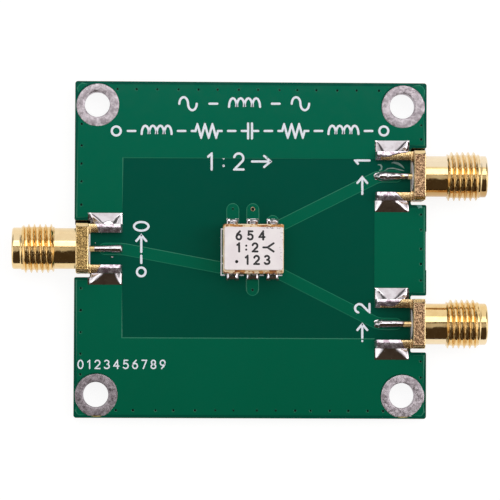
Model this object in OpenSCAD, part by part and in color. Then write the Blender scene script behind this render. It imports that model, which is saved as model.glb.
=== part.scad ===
// RF power splitter: a small six-lead splitter module on a circuit board,
// with one coaxial jack at the left edge and two at the right edge.
// The board lies in the XY plane, +Z is up, and the three jack flanges stand on z = 0.

/* [Board] */
// Board length, from the input edge to the output edge
board_l = 44.7; // [43.5:0.1:48]
// Board width
board_w = 42.7; // [42:0.1:48]
// Laminate thickness
board_t = 1.6; // [1.4:0.05:1.7]
// Radius of the board's outer corners
board_corner_r = 0.35; // [0.2:0.05:1]
// Width of the notch behind each jack
notch_w = 7.2; // [6.9:0.1:7.8]
// Depth of the notch behind each jack
notch_depth = 2; // [1.7:0.1:2.2]
// Corner radius inside the notch
notch_inner_r = 0.2; // [0.1:0.05:0.4]
// Corner radius at the mouth of the notch
notch_mouth_r = 0.22; // [0.1:0.02:0.4]
// Length of the shallow relief left on the output edge by the panel tab
relief_l = 4.9; // [3:0.1:5.6]
// Depth of that relief
relief_depth = 0.08; // [0.04:0.02:0.16]

/* [Mounting holes] */
// Finished hole diameter
hole_d = 3.2; // [2.8:0.1:3.6]
// Distance of the hole centres from the board's edges
hole_in = 2.95; // [2.9:0.05:3.4]
// Shift of the hole pattern towards the output edge
hole_shift_x = -0.15; // [-0.3:0.05:0.3]
// Outer diameter of the tinned ring
ring_d = 5.55; // [4.6:0.05:5.8]
// Wall of the plated barrel
plating_t = 0.05; // [0.03:0.01:0.1]

/* [Copper] */
// Copper layer with its coat of mask
copper_t = 0.05; // [0.03:0.01:0.06]
// Bare copper land with its coat of tin
land_t = 0.06; // [0.04:0.01:0.09]
// Distance of the copper from every board edge
copper_back = 0.4; // [0.3:0.05:0.6]
// Corner radius of the ground copper
copper_corner_r = 0.5; // [0.3:0.1:1]
// Ground copper left of the bare window
window_left = 6.05; // [5.5:0.05:6.5]
// Ground copper right of the bare window
window_right = 6.63; // [6:0.01:7]
// Ground copper above the bare window
window_top = 9.68; // [9:0.02:10]
// Ground copper below the bare window
window_bottom = 10.11; // [9.5:0.01:10.4]
// Width of the bare channel round each signal line
channel_w = 4.19; // [3.6:0.01:4.19]
// Width of the signal traces
trace_w = 1.5; // [1.2:0.05:1.55]
// Width of the ground tabs at the module
tab_w = 1.6; // [1.3:0.05:1.8]
// Reach of the ground tabs past the module lands
tab_out = 1.95; // [1.7:0.05:2.6]
// Reach of output 1's trace past its module land
cap_out = 0.46; // [0.4:0.02:0.7]
// Distance from a ground tab's tip to its via
tab_via_in = 0.72; // [0.5:0.02:0.9]
// Outer diameter of a via barrel
via_d = 0.44; // [0.36:0.02:0.5]
// Bore of a via barrel
via_bore_d = 0.3; // [0.2:0.02:0.32]
// Distance of the upper and lower via rows from the board edge
via_in_y = 1; // [0.85:0.05:1.2]
// Distance of the input side's vias from the board edge
via_in_left = 0.85; // [0.7:0.05:1.1]
// Distance of the output side's vias from the board edge
via_in_right = 0.7; // [0.66:0.02:1]

/* [Ports] */
// Place of the input jack across the board
input_y = 0.05; // [-0.5:0.05:0.5]
// Distance of output jack 1 from the upper edge
output_1_in = 11.9; // [11.75:0.05:12.15]
// Distance of output jack 2 from the lower edge
output_2_in = 12.05; // [11.85:0.05:12.25]
// Width of each ground land beside a jack
ground_land_w = 2.45; // [2:0.05:2.6]
// Length of the ground lands
ground_land_l = 4.35; // [4.1:0.05:4.5]
// Distance of the input's ground lands from the board edge
input_land_in = 1.73; // [1.7:0.01:1.9]
// Distance of the outputs' ground lands from the board edge
output_land_in = 2.22; // [2.1:0.02:2.4]
// Width of the bare land under a jack's pin
signal_land_w = 1.1; // [1:0.02:1.3]
// Length of that land
signal_land_l = 2.45; // [2.2:0.05:2.5]
// Distance from the flange to the round tip of the signal copper
signal_tip_in = 1.35; // [1:0.05:1.4]
// Distance from the flange to the bend of the signal copper
signal_bend_in = 4.32; // [4.2:0.02:4.5]

/* [Jack] */
// Side of the square flange
flange_w = 6.26; // [6.26:0.02:6.5]
// Flange thickness
flange_t = 1.58; // [1.3:0.02:1.7]
// Chamfer on the four flange corners
flange_chamfer = 0.4; // [0.2:0.05:0.6]
// Diameter of the plain neck
neck_d = 5.2; // [4.9:0.05:5.4]
// Length of the plain neck
neck_l = 2.69; // [2:0.01:4]
// Thread outer diameter, 1/4 inch nominal
thread_d = 6.24; // [6.2:0.01:6.26]
// Thread pitch, 36 to the inch
thread_pitch = 0.7056; // [0.6:0.0001:0.8]
// Threaded length
thread_l = 4.33; // [3.6:0.01:6]
// Diameter of the plain pilot in front of the thread
pilot_d = 5.27; // [5.1:0.01:5.4]
// Length of the pilot
pilot_l = 1.04; // [0.6:0.02:1.6]
// Radius on the pilot's front edge
pilot_edge_r = 0.24; // [0.1:0.02:0.3]
// Bore of the mating socket
socket_d = 4.6; // [4.55:0.01:4.65]
// Depth of the mating socket
socket_depth = 1.95; // [1.7:0.05:2.4]
// Diameter of the white insulator
insulator_d = 4.1; // [3.9:0.05:4.15]
// Length of insulator that stands out behind the flange
insulator_proud = 0.22; // [0.15:0.01:0.3]
// Diameter of the centre contact inside the insulator
contact_d = 1.27; // [1.2:0.01:1.4]
// Bore of the centre contact
contact_bore_d = 0.94; // [0.9:0.01:1]
// Depth of the centre contact's bore
contact_bore_depth = 2.6; // [2.3:0.1:3.5]
// Recess of the centre contact below the insulator's face
contact_recess = 0.06; // [0.02:0.02:0.2]
// Width of the slots between the contact fingers
contact_slot_w = 0.14; // [0.1:0.01:0.16]
// Length of those slots
contact_slot_l = 2; // [1.4:0.1:2.2]
// Diameter of the pin behind the flange
pin_d = 0.76; // [0.7:0.02:0.9]
// Length of the pin behind the flange
pin_l = 4.2; // [4:0.02:4.2]
// Chamfer at the pin's tip
pin_tip = 0.1; // [0.05:0.01:0.15]
// Depth in the insulator at which the pin widens into the contact
pin_root = 1.2; // [0.8:0.1:2]
// Width of each ground leg
leg_w = 1.08; // [0.9:0.02:1.2]
// Height of each ground leg
leg_h = 0.9; // [0.7:0.02:0.9]
// Length of each ground leg
leg_l = 4.1; // [3.8:0.02:4.15]
// Thickness of the step at a leg's root
collar_t = 0.3; // [0.1:0.02:0.4]
// Height of that step above the leg
collar_h = 0.12; // [0.05:0.01:0.12]

/* [Solder] */
// Height of the ground fillets up the legs
solder_h = 0.86; // [0.5:0.02:0.86]
// Thickness of the solder at a land's edge
solder_edge_t = 0.05; // [0.02:0.01:0.08]
// Length of a ground fillet's slope next to the flange
toe_l = 1.2; // [0.8:0.05:1.6]
// Overlap of a ground fillet's inner slope with the leg
heel_lap = 0.2; // [0.1:0.05:0.5]
// Length of the slope at each end of the pin solder
pin_slope_l = 0.5; // [0.3:0.05:0.8]
// Height of the fillets at the module's leads
lead_solder_h = 0.85; // [0.5:0.05:1]

/* [Module] */
// Place of the module's centre along the board
module_x = 0.25; // [-0.5:0.05:0.5]
// Place of the module's centre across the board
module_y = 0.06; // [-0.5:0.02:0.5]
// Spacing of the leads
lead_pitch = 2.54; // [2.45:0.01:2.6]
// Width of the module lands
module_land_w = 1.56; // [1.3:0.02:1.6]
// Length of the module lands
module_land_l = 2.1; // [1.9:0.05:2.3]
// Reach of those lands beyond the module's side
module_land_out = 0.8; // [0.76:0.02:1]
// Length of the module's base
base_l = 7.6; // [7.4:0.05:8]
// Width of the module's base
base_w = 6.2; // [6.1:0.05:6.3]
// Height of the module's base
base_h = 3.1; // [2.8:0.05:3.6]
// Wall of the module's base
base_wall = 0.6; // [0.45:0.05:0.65]
// Floor of the module's base
base_floor = 0.45; // [0.3:0.05:0.5]
// Corner radius of the module's base
base_corner_r = 0.2; // [0.1:0.05:0.4]
// Length of the lid
lid_l = 7.35; // [7:0.05:7.4]
// Width of the lid
lid_w = 5.4; // [5.35:0.05:6]
// Thickness of the lid
lid_t = 0.75; // [0.5:0.05:1]
// Corner radius of the lid
lid_corner_r = 0.25; // [0.1:0.05:0.4]
// Thickness of the adhesive under the lid
glue_t = 0.1; // [0.05:0.01:0.15]
// Bare rim left outside the adhesive
glue_in = 0.12; // [0.05:0.01:0.15]

/* [Leads] */
// Lead width
lead_w = 0.65; // [0.5:0.05:0.8]
// Lead thickness
lead_t = 0.2; // [0.15:0.01:0.25]
// Reach of the leads beyond the module's side
lead_reach = 0.72; // [0.62:0.01:0.75]
// Inner radius of the lead bends
lead_bend_r = 0.1; // [0.06:0.01:0.12]
// Height of the lead's shoulder above the base's underside
lead_rise = 0.7; // [0.6:0.05:0.9]
// Length of the lead inside the cavity
lead_inside = 0.45; // [0.3:0.05:0.6]

/* [Cores and resistor] */
// Outer diameter of each ferrite core
core_d = 2.5; // [2.2:0.05:2.6]
// Bore of each ferrite core
core_bore_d = 1.3; // [1.1:0.05:1.4]
// Height of each ferrite core
core_h = 1.4; // [1:0.05:1.8]
// Distance between the two core centres
core_spacing = 3.1; // [3.1:0.02:3.2]
// Wire thickness
wire_t = 0.12; // [0.08:0.01:0.14]
// Clearance between wire and core
wire_gap = 0.02; // [0.02:0.01:0.04]
// Turns on each core
turns = 8; // [4:1:9]
// Length of the balance resistor
resistor_l = 1.6; // [1.2:0.05:1.7]
// Width of the balance resistor
resistor_w = 0.7; // [0.5:0.05:0.75]
// Thickness of the balance resistor
resistor_t = 0.45; // [0.3:0.05:0.6]

/* [Hidden] */
$fn = 48;
// Overrun of every cut past the face that it leaves
cut = 1;
// Depth of a 60 degree thread as a share of its pitch
thread_depth_share = 0.5413;
// Crest flat as a share of the pitch
thread_crest_share = 0.125;
// Hollow of a fillet as a share of its slope
fillet_sag_share = 0.14;
// Width and height to which solder climbs round a jack's pin, as shares of the pin's diameter
pin_shoulder_share = 1;
pin_climb_share = 0.75;
// Distance that a trace ends inside the middle of its module land, as a share of the land's length
trace_meet_share = 0.125;
// Places of the vias in the upper and lower rows, as shares of the way between two rings
UPPER_VIA_SHARES = [-0.011, 0.062, 0.141, 0.222, 0.298, 0.371, 0.452, 0.526, 0.608,
    0.676, 0.749, 0.829, 0.903, 0.989];
LOWER_VIA_SHARES = [-0.011, 0.054, 0.14, 0.208, 0.29, 0.368, 0.437, 0.526, 0.598,
    0.672, 0.731, 0.804, 0.875, 0.949, 1.008];
// Places of the input side's vias above and below its notch, as shares of the way to the ring
LEFT_UPPER_VIA_SHARES = [1.022, 0.793, 0.601, 0.412, 0.166];
LEFT_LOWER_VIA_SHARES = [0.116, 0.346, 0.576, 0.802, 1.018];
// Places of the output side's vias above, between and below its notches, as shares of the way
RIGHT_UPPER_VIA_SHARES = [1.134, 0.437];
RIGHT_MIDDLE_VIA_SHARES = [0.893, 0.726, 0.516, 0.349, 0.168];
RIGHT_LOWER_VIA_SHARES = [0.421, 1.174];

// Heights
axis_z = flange_w / 2;
board_top = axis_z - pin_d / 2 - land_t;
board_under = board_top - board_t;
land_top = board_top + land_t;
land_under = board_under - land_t;
base_z = land_top + lead_t;
rim_z = base_z + base_h;
lid_z = rim_z + glue_t;

// Places along the jack, from the flange's rear face outwards
thread_x = flange_t + neck_l;
pilot_x = thread_x + thread_l;
front_x = pilot_x + pilot_l;
seat_x = front_x - socket_depth;
contact_x = seat_x - contact_recess;
thread_depth = thread_depth_share * thread_pitch;
thread_root_r = thread_d / 2 - thread_depth;
ridge_count = floor(thread_l / thread_pitch);
ridge_x = thread_x + (thread_l - ridge_count * thread_pitch) / 2;
crest_half = thread_crest_share * thread_pitch / 2;
foot_half = crest_half + thread_depth * tan(30);

// Places on the board
flange_x = board_l / 2 - notch_depth + insulator_proud;
edge_x = notch_depth - insulator_proud;
leg_y = flange_w / 2 - leg_w;
ground_land_y = channel_w / 2;
window_l = board_l - window_left - window_right;
window_w = board_w - window_top - window_bottom;
hole_x = board_l / 2 - hole_in;
hole_y = board_w / 2 - hole_in;
output_1_y = board_w / 2 - output_1_in;
output_2_y = output_2_in - board_w / 2;
land_end_y = base_w / 2 + module_land_out;
land_y = land_end_y - module_land_l / 2;
tab_end_y = land_end_y + tab_out;
core_z = base_z + base_floor + wire_t + wire_gap;

// Each port: side of the board, place across it, distance of its ground lands from the edge
INPUT = [-1, input_y, input_land_in];
OUTPUT_1 = [1, output_1_y, output_land_in];
OUTPUT_2 = [1, output_2_y, output_land_in];
PORTS = [INPUT, OUTPUT_1, OUTPUT_2];

// Each module lead: column along the board, side across it
LEADS = [[-1, -1], [0, -1], [1, -1], [1, 1], [0, 1], [-1, 1]];
// The leads that a ground tab joins to the lower copper
TABS = [[-1, 1], [0, 1], [0, -1]];

HOLES = [for (sy = [-1, 1], sx = [-1, 1]) [hole_shift_x + sx * hole_x, sy * hole_y]];

// Places between a and b at the given shares of the way
function between(a, b, shares) = [for (share = shares) a + share * (b - a)];

row_end_x = hole_x - ring_d / 2;
column_end_y = hole_y - ring_d / 2;
LEFT_VIA_YS = concat(
    between(input_y + notch_w / 2, column_end_y, LEFT_UPPER_VIA_SHARES),
    between(input_y - notch_w / 2, -column_end_y, LEFT_LOWER_VIA_SHARES)
);
RIGHT_VIA_YS = concat(
    between(output_1_y + notch_w / 2, column_end_y, RIGHT_UPPER_VIA_SHARES),
    between(output_2_y + notch_w / 2, output_1_y - notch_w / 2, RIGHT_MIDDLE_VIA_SHARES),
    between(output_2_y - notch_w / 2, -column_end_y, RIGHT_LOWER_VIA_SHARES)
);
VIAS = concat(
    [for (x = between(-row_end_x, row_end_x, UPPER_VIA_SHARES)) [x, board_w / 2 - via_in_y]],
    [for (x = between(-row_end_x, row_end_x, LOWER_VIA_SHARES)) [x, via_in_y - board_w / 2]],
    [for (y = LEFT_VIA_YS) [via_in_left - board_l / 2, y]],
    [for (y = RIGHT_VIA_YS) [board_l / 2 - via_in_right, y]],
    [for (t = TABS) [module_x + t[0] * lead_pitch, module_y + t[1] * (tab_end_y - tab_via_in)]]
);

GREEN = [0.06, 0.37, 0.27];
DARK_GREEN = [0.01, 0.28, 0.2];
TIN = [0.72, 0.7, 0.73];
GOLD = [0.83, 0.66, 0.36];
COPPER = [0.72, 0.42, 0.25];

// Rectangle about the origin with round corners
module round_rect(l, w, r) {
    square([l, w - 2 * r], center = true);
    square([l - 2 * r, w], center = true);
    for (sx = [-1, 1], sy = [-1, 1])
        translate([sx * (l / 2 - r), sy * (w / 2 - r)]) circle(r);
}

// Round-ended strip between two points
module strip(a, b, w) {
    d = b - a;
    translate(a) circle(d = w);
    translate(b) circle(d = w);
    translate(a) rotate(atan2(d[1], d[0])) translate([0, -w / 2]) square([norm(d), w]);
}

// Quarter of a ring about the origin, turned by the given angle
module bend(r, t, turn) {
    rotate(turn) intersection() {
        difference() {
            circle(r + t);
            circle(r);
        }
        square(r + t);
    }
}

// Section of a hollow solder fillet: as high as h at the origin, thin at w
module fillet(w, h) {
    run = norm([w, h - solder_edge_t]);
    sag = fillet_sag_share * run;
    r = (run * run / 4 + sag * sag) / (2 * sag);
    out = r - sag;
    difference() {
        polygon([[0, 0], [w, 0], [w, solder_edge_t], [0, h]]);
        translate([
            w / 2 + out * (h - solder_edge_t) / run,
            (h + solder_edge_t) / 2 + out * w / run
        ]) circle(r, $fn = 96);
    }
}

// Extrusion along X of a section drawn in Y and Z
module along_x(x, l) {
    translate([x, 0, 0]) rotate([90, 0, 90]) linear_extrude(l) children();
}

// Extrusion along Y, over both signs, of a section drawn in X and Z
module across_y(w) {
    translate([0, w / 2, 0]) rotate([90, 0, 0]) linear_extrude(w) children();
}

// Revolution about the jack's axis of a profile drawn as radius and place along the axis
module about_axis() {
    translate([0, 0, axis_z]) rotate([0, 90, 0]) rotate_extrude() children();
}

// Port frame: origin under the flange's rear face, +X away from the board
module at_port(port) {
    translate([port[0] * flange_x, port[1], 0])
        mirror([port[0] < 0 ? 1 : 0, 0, 0]) children();
}

// Outline of the notch behind a jack, grown by g, in the port frame
module notch(g) {
    translate([edge_x, 0]) round_rect(2 * (notch_depth + g), notch_w + 2 * g, notch_inner_r);
}

// Sliver outside the round corners at the mouth of a notch, in the port frame
module mouth_corners() {
    for (s = [-1, 1])
        translate([edge_x - notch_mouth_r, s * (notch_w / 2 + notch_mouth_r)]) difference() {
            translate([0, min(0, -s * notch_mouth_r)]) square(notch_mouth_r);
            circle(notch_mouth_r);
        }
}

// Ground lands of a port, in the port frame
module ground_lands(port) {
    start = edge_x - port[2];
    difference() {
        for (s = [-1, 1])
            translate([start - ground_land_l, s * (ground_land_y + ground_land_w / 2) - ground_land_w / 2])
                square([ground_land_l, ground_land_w]);
        notch(solder_edge_t);
    }
}

// Bare land under the pin, in the port frame
module signal_land(port) {
    translate([edge_x - port[2] - ground_land_l, -signal_land_w / 2])
        square([signal_land_l, signal_land_w]);
}

// Lands under the module's leads
module module_land_shapes() {
    for (lead = LEADS)
        translate([module_x + lead[0] * lead_pitch, module_y + lead[1] * land_y])
            square([module_land_w, module_land_l], center = true);
}

// Via openings, or their barrels where d is the barrel's diameter
module via_discs(d) {
    for (v = VIAS) translate(v) circle(d = d, $fn = 16);
}

// Outer limit of the copper on either face
module copper_outline() {
    difference() {
        round_rect(board_l - 2 * copper_back, board_w - 2 * copper_back, copper_corner_r);
        for (port = PORTS) at_port(port) notch(copper_back);
    }
}

// Area of the upper face that carries no ground copper
module window() {
    left = window_left - board_l / 2;
    right = board_l / 2 - window_right;
    translate([left, window_bottom - board_w / 2]) square([window_l, window_w]);
    for (port = PORTS) {
        inner = port[0] < 0 ? left : right;
        reach = port[0] * board_l / 2 - inner;
        translate([min(inner, inner + reach), port[1] - channel_w / 2])
            square([abs(reach), channel_w]);
    }
}

module circuit_board() {
    color(DARK_GREEN) translate([0, 0, board_under]) linear_extrude(board_t) difference() {
        round_rect(board_l, board_w, board_corner_r);
        for (port = PORTS) at_port(port) {
            notch(0);
            mouth_corners();
        }
        translate([board_l / 2 - relief_depth, -relief_l / 2]) square([cut, relief_l]);
        for (h = HOLES) translate(h) circle(d = hole_d + 2 * plating_t);
        via_discs(via_d);
    }
}

// Ground copper of one face, without what lies in it
module ground_copper_shape() {
    difference() {
        copper_outline();
        for (h = HOLES) translate(h) circle(d = ring_d);
        for (port = PORTS) at_port(port) ground_lands(port);
        via_discs(via_d);
    }
}

module top_ground_copper() {
    color(GREEN) translate([0, 0, board_top]) linear_extrude(copper_t) difference() {
        ground_copper_shape();
        window();
    }
}

module bottom_ground_copper() {
    color(GREEN) translate([0, 0, board_under - copper_t]) linear_extrude(copper_t)
        ground_copper_shape();
}

// Signal copper from a jack's pin to one lead of the module, and past its land by the given reach
module trace(port, lead, past) {
    bend_at = [port[0] * (flange_x - signal_bend_in), port[1]];
    tip = [port[0] * (flange_x - signal_tip_in - trace_w / 2), port[1]];
    meet_y = land_y - trace_meet_share * module_land_l;
    meet = [module_x + lead[0] * lead_pitch, module_y + lead[1] * meet_y];
    cap = [meet[0], module_y + lead[1] * (land_end_y + past - trace_w / 2)];
    color(GREEN) translate([0, 0, board_top]) linear_extrude(copper_t) difference() {
        union() {
            strip(tip, bend_at, trace_w);
            strip(bend_at, meet, trace_w);
            if (past > 0) strip(meet, cap, trace_w);
        }
        at_port(port) signal_land(port);
        module_land_shapes();
    }
}

module ground_tabs() {
    color(GREEN) translate([0, 0, board_top]) linear_extrude(copper_t) difference() {
        for (t = TABS)
            translate([module_x + t[0] * lead_pitch, module_y])
                strip([0, t[1] * land_y], [0, t[1] * (tab_end_y - tab_w / 2)], tab_w);
        module_land_shapes();
        via_discs(via_d);
    }
}

// Barrel with the tinned ring on both faces
module plated_hole(i) {
    color(TIN) difference() {
        union() {
            for (z = [board_top, land_under])
                translate([0, 0, z]) linear_extrude(land_t) intersection() {
                    translate(HOLES[i]) circle(d = ring_d);
                    copper_outline();
                }
            translate([HOLES[i][0], HOLES[i][1], board_under])
                cylinder(h = board_t, d = hole_d + 2 * plating_t);
        }
        translate([HOLES[i][0], HOLES[i][1], land_under - cut])
            cylinder(h = board_t + 2 * (land_t + cut), d = hole_d);
    }
}

module stitching_vias() {
    color(COPPER) translate([0, 0, board_under - copper_t])
        linear_extrude(board_t + 2 * copper_t) difference() {
            via_discs(via_d);
            via_discs(via_bore_d);
        }
}

// Tinned lands of one port, on both faces
module port_lands(port) {
    color(TIN) at_port(port) {
        translate([0, 0, board_top]) linear_extrude(land_t) {
            ground_lands(port);
            signal_land(port);
        }
        translate([0, 0, land_under]) linear_extrude(land_t) ground_lands(port);
    }
}

module module_lands() {
    color(TIN) translate([0, 0, board_top]) linear_extrude(land_t) module_land_shapes();
}

// Flange outline in Y and Z
module flange_outline() {
    half = flange_w / 2;
    flat = half - flange_chamfer;
    translate([0, axis_z]) polygon([
        [half, flat], [flat, half], [-flat, half], [-half, flat],
        [-half, -flat], [-flat, -half], [flat, -half], [half, -flat]
    ]);
}

// Section of the four ground legs, grown inwards and away from the board by g
module leg_section(g) {
    intersection() {
        flange_outline();
        for (s = [-1, 1]) {
            low = min(s * (leg_y - g), s * flange_w / 2);
            translate([low, land_top]) square([leg_w + g, leg_h + g]);
            translate([low, land_under - leg_h - g]) square([leg_w + g, leg_h + g]);
        }
    }
}

// The four ground legs with the step at their roots
module legs() {
    along_x(-leg_l, leg_l + flange_t / 2) leg_section(0);
    along_x(-collar_t, collar_t + flange_t / 2) leg_section(collar_h);
}

// Outer profile of the jack's round part
module barrel_profile() {
    square([neck_d / 2, thread_x]);
    translate([0, thread_x]) square([thread_root_r, thread_l]);
    for (i = [0 : ridge_count - 1])
        translate([0, ridge_x + (i + 0.5) * thread_pitch]) polygon([
            [0, -foot_half], [thread_root_r, -foot_half], [thread_d / 2, -crest_half],
            [thread_d / 2, crest_half], [thread_root_r, foot_half], [0, foot_half]
        ]);
    translate([0, pilot_x]) {
        square([pilot_d / 2, pilot_l - pilot_edge_r]);
        square([pilot_d / 2 - pilot_edge_r, pilot_l]);
        translate([pilot_d / 2 - pilot_edge_r, pilot_l - pilot_edge_r]) circle(pilot_edge_r);
    }
}

module jack_shell(port) {
    color(GOLD) at_port(port) difference() {
        union() {
            about_axis() intersection() {
                barrel_profile();
                square([thread_d, front_x]);
            }
            along_x(0, flange_t) flange_outline();
            legs();
        }
        about_axis() {
            translate([0, -cut]) square([insulator_d / 2, seat_x + cut]);
            translate([0, seat_x]) square([socket_d / 2, socket_depth + cut]);
        }
    }
}

module jack_insulator(port) {
    color("white") at_port(port) about_axis() difference() {
        translate([0, -insulator_proud]) square([insulator_d / 2, seat_x + insulator_proud]);
        translate([0, -cut]) square([pin_d / 2, pin_root + cut]);
        translate([0, pin_root]) square([contact_d / 2, seat_x]);
    }
}

module jack_contact(port) {
    color(GOLD) at_port(port) difference() {
        about_axis() {
            polygon([
                [0, -pin_l], [pin_d / 2 - pin_tip, -pin_l], [pin_d / 2, pin_tip - pin_l],
                [pin_d / 2, pin_root], [0, pin_root]
            ]);
            difference() {
                translate([0, pin_root]) square([contact_d / 2, contact_x - pin_root]);
                translate([0, contact_x - contact_bore_depth])
                    square([contact_bore_d / 2, contact_bore_depth + cut]);
            }
        }
        for (turn = [0, 90])
            translate([contact_x - contact_slot_l, 0, axis_z]) rotate([turn, 0, 0])
                translate([0, -contact_slot_w / 2, -contact_d])
                    cube([contact_slot_l + cut, contact_slot_w, 2 * contact_d]);
    }
}

// Side view of a run of solder between two places along the port, sloped at both ends
module solder_side(inner, outer, inner_slope, outer_slope, h) {
    translate([inner + inner_slope, 0]) square([outer - inner - inner_slope - outer_slope, h]);
    translate([outer - outer_slope, 0]) fillet(outer_slope, h);
    translate([inner + inner_slope, 0]) mirror([1, 0]) fillet(inner_slope, h);
}

// Ground fillets on the upper face, lying on z = 0, in the port frame
module ground_fillets(port) {
    start = edge_x - port[2];
    heel = leg_l - ground_land_l + start;
    side_w = ground_land_y + ground_land_w - flange_w / 2;
    intersection() {
        linear_extrude(2 * solder_h) ground_lands(port);
        along_x(start - ground_land_l, ground_land_l) for (s = [0, 1]) mirror([s, 0]) {
            translate([ground_land_y, 0]) square([flange_w / 2 - ground_land_y, solder_h]);
            translate([flange_w / 2, 0]) fillet(side_w, solder_h);
        }
        across_y(board_w) solder_side(
            start - ground_land_l, start, heel_lap - heel, toe_l, solder_h + solder_edge_t
        );
    }
}

module top_solder(port) {
    color(TIN) at_port(port) difference() {
        translate([0, 0, land_top]) ground_fillets(port);
        legs();
    }
}

module bottom_solder(port) {
    color(TIN) at_port(port) difference() {
        translate([0, 0, land_under]) mirror([0, 0, 1]) ground_fillets(port);
        legs();
    }
}

module pin_solder(port) {
    inner = edge_x - port[2] - ground_land_l;
    shoulder_y = pin_shoulder_share * pin_d / 2;
    h = pin_climb_share * pin_d;
    color(TIN) at_port(port) difference() {
        translate([0, 0, land_top]) intersection() {
            along_x(inner, signal_land_l) {
                translate([-shoulder_y, 0]) square([2 * shoulder_y, h]);
                for (s = [0, 1]) mirror([s, 0])
                    translate([shoulder_y, 0]) fillet(signal_land_w / 2 - shoulder_y, h);
            }
            across_y(signal_land_w)
                solder_side(
                    inner, inner + signal_land_l, pin_slope_l, pin_slope_l, h + solder_edge_t
                );
        }
        about_axis() translate([0, -pin_l]) square([pin_d / 2, pin_l]);
    }
}

// Section of a lead in Y and Z, from the module's centre line outwards
module lead_section() {
    side = base_w / 2;
    shoulder_z = base_z + lead_rise;
    outer_r = lead_bend_r + lead_t;
    foot_y = side + outer_r + lead_bend_r;
    translate([side - base_wall - lead_inside, shoulder_z])
        square([base_wall + lead_inside, lead_t]);
    translate([side, shoulder_z + lead_t - outer_r]) bend(lead_bend_r, lead_t, 0);
    translate([side + lead_bend_r, land_top + outer_r])
        square([lead_t, shoulder_z + lead_t - land_top - 2 * outer_r]);
    translate([foot_y, land_top + outer_r]) bend(lead_bend_r, lead_t, 180);
    translate([foot_y, land_top]) square([side + lead_reach - foot_y, lead_t]);
}

// Place of a lead on the module, drawn for the side towards +Y
module at_lead(lead) {
    translate([module_x + lead[0] * lead_pitch, module_y, 0])
        mirror([0, lead[1] < 0 ? 1 : 0, 0]) children();
}

module module_lead(i) {
    color(TIN) at_lead(LEADS[i]) along_x(-lead_w / 2, lead_w) lead_section();
}

module module_lead_solder() {
    side = base_w / 2;
    run = module_land_out;
    slope = (module_land_w - lead_w) / 2;
    color(TIN) for (lead = LEADS) at_lead(lead) difference() {
        translate([0, 0, land_top]) intersection() {
            along_x(-module_land_w / 2, module_land_w)
                translate([side, 0]) fillet(run, lead_solder_h);
            translate([0, side + run / 2, 0]) across_y(run) solder_side(
                -module_land_w / 2, module_land_w / 2, slope, slope, lead_solder_h + solder_edge_t
            );
        }
        along_x(-lead_w / 2, lead_w) lead_section();
    }
}

module base_outline(back) {
    round_rect(base_l - 2 * back, base_w - 2 * back, base_corner_r);
}

module module_base() {
    color([0.9, 0.75, 0.5]) difference() {
        translate([module_x, module_y, base_z]) difference() {
            linear_extrude(base_h) base_outline(0);
            translate([0, 0, base_floor]) linear_extrude(base_h) base_outline(base_wall);
        }
        for (lead = LEADS) at_lead(lead)
            translate([-lead_w / 2, 0, base_z + lead_rise]) cube([lead_w, base_w, lead_t]);
    }
}

module lid_adhesive() {
    color([0.62, 0.35, 0.12]) translate([module_x, module_y, rim_z])
        linear_extrude(glue_t) difference() {
            base_outline(glue_in);
            base_outline(base_wall);
        }
}

module module_lid() {
    color([0.9, 0.87, 0.88]) translate([module_x, module_y, lid_z])
        linear_extrude(lid_t) round_rect(lid_l, lid_w, lid_corner_r);
}

// Place of a core's centre on its underside, side -1 or 1
module at_core(side) {
    translate([module_x + side * core_spacing / 2, module_y, core_z]) children();
}

module ferrite_core(side) {
    color([0.2, 0.19, 0.2]) at_core(side) difference() {
        cylinder(h = core_h, d = core_d);
        translate([0, 0, -cut]) cylinder(h = core_h + 2 * cut, d = core_bore_d);
    }
}

// Turns of flat wire round a core's section
module winding(side) {
    inner = core_bore_d / 2 - wire_gap;
    outer = core_d / 2 + wire_gap;
    color(COPPER) at_core(side) for (i = [0 : turns - 1]) rotate(i * 360 / turns)
        translate([0, wire_t / 2, 0]) rotate([90, 0, 0]) linear_extrude(wire_t) difference() {
            translate([inner - wire_t, -wire_gap - wire_t])
                square([outer - inner + 2 * wire_t, core_h + 2 * (wire_gap + wire_t)]);
            translate([inner, -wire_gap]) square([outer - inner, core_h + 2 * wire_gap]);
        }
}

module balance_resistor() {
    wall_y = base_w / 2 - base_wall;
    color([0.15, 0.15, 0.17])
        translate([module_x + (lead_pitch - resistor_l) / 2, module_y - wall_y, base_z + base_floor])
            cube([resistor_l, resistor_w, resistor_t]);
}

circuit_board();
top_ground_copper();
bottom_ground_copper();
trace(INPUT, LEADS[0], 0);  // input_trace
trace(OUTPUT_1, LEADS[3], cap_out);  // output_1_trace
trace(OUTPUT_2, LEADS[2], 0);  // output_2_trace
ground_tabs();
plated_hole(0);  // plated_hole_1
plated_hole(1);  // plated_hole_2
plated_hole(2);  // plated_hole_3
plated_hole(3);  // plated_hole_4
stitching_vias();
port_lands(INPUT);  // input_lands
port_lands(OUTPUT_1);  // output_1_lands
port_lands(OUTPUT_2);  // output_2_lands
module_lands();
jack_shell(INPUT);  // input_jack_shell
jack_insulator(INPUT);  // input_jack_insulator
jack_contact(INPUT);  // input_jack_contact
jack_shell(OUTPUT_1);  // output_1_jack_shell
jack_insulator(OUTPUT_1);  // output_1_jack_insulator
jack_contact(OUTPUT_1);  // output_1_jack_contact
jack_shell(OUTPUT_2);  // output_2_jack_shell
jack_insulator(OUTPUT_2);  // output_2_jack_insulator
jack_contact(OUTPUT_2);  // output_2_jack_contact
top_solder(INPUT);  // input_top_solder
bottom_solder(INPUT);  // input_bottom_solder
pin_solder(INPUT);  // input_pin_solder
top_solder(OUTPUT_1);  // output_1_top_solder
bottom_solder(OUTPUT_1);  // output_1_bottom_solder
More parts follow.
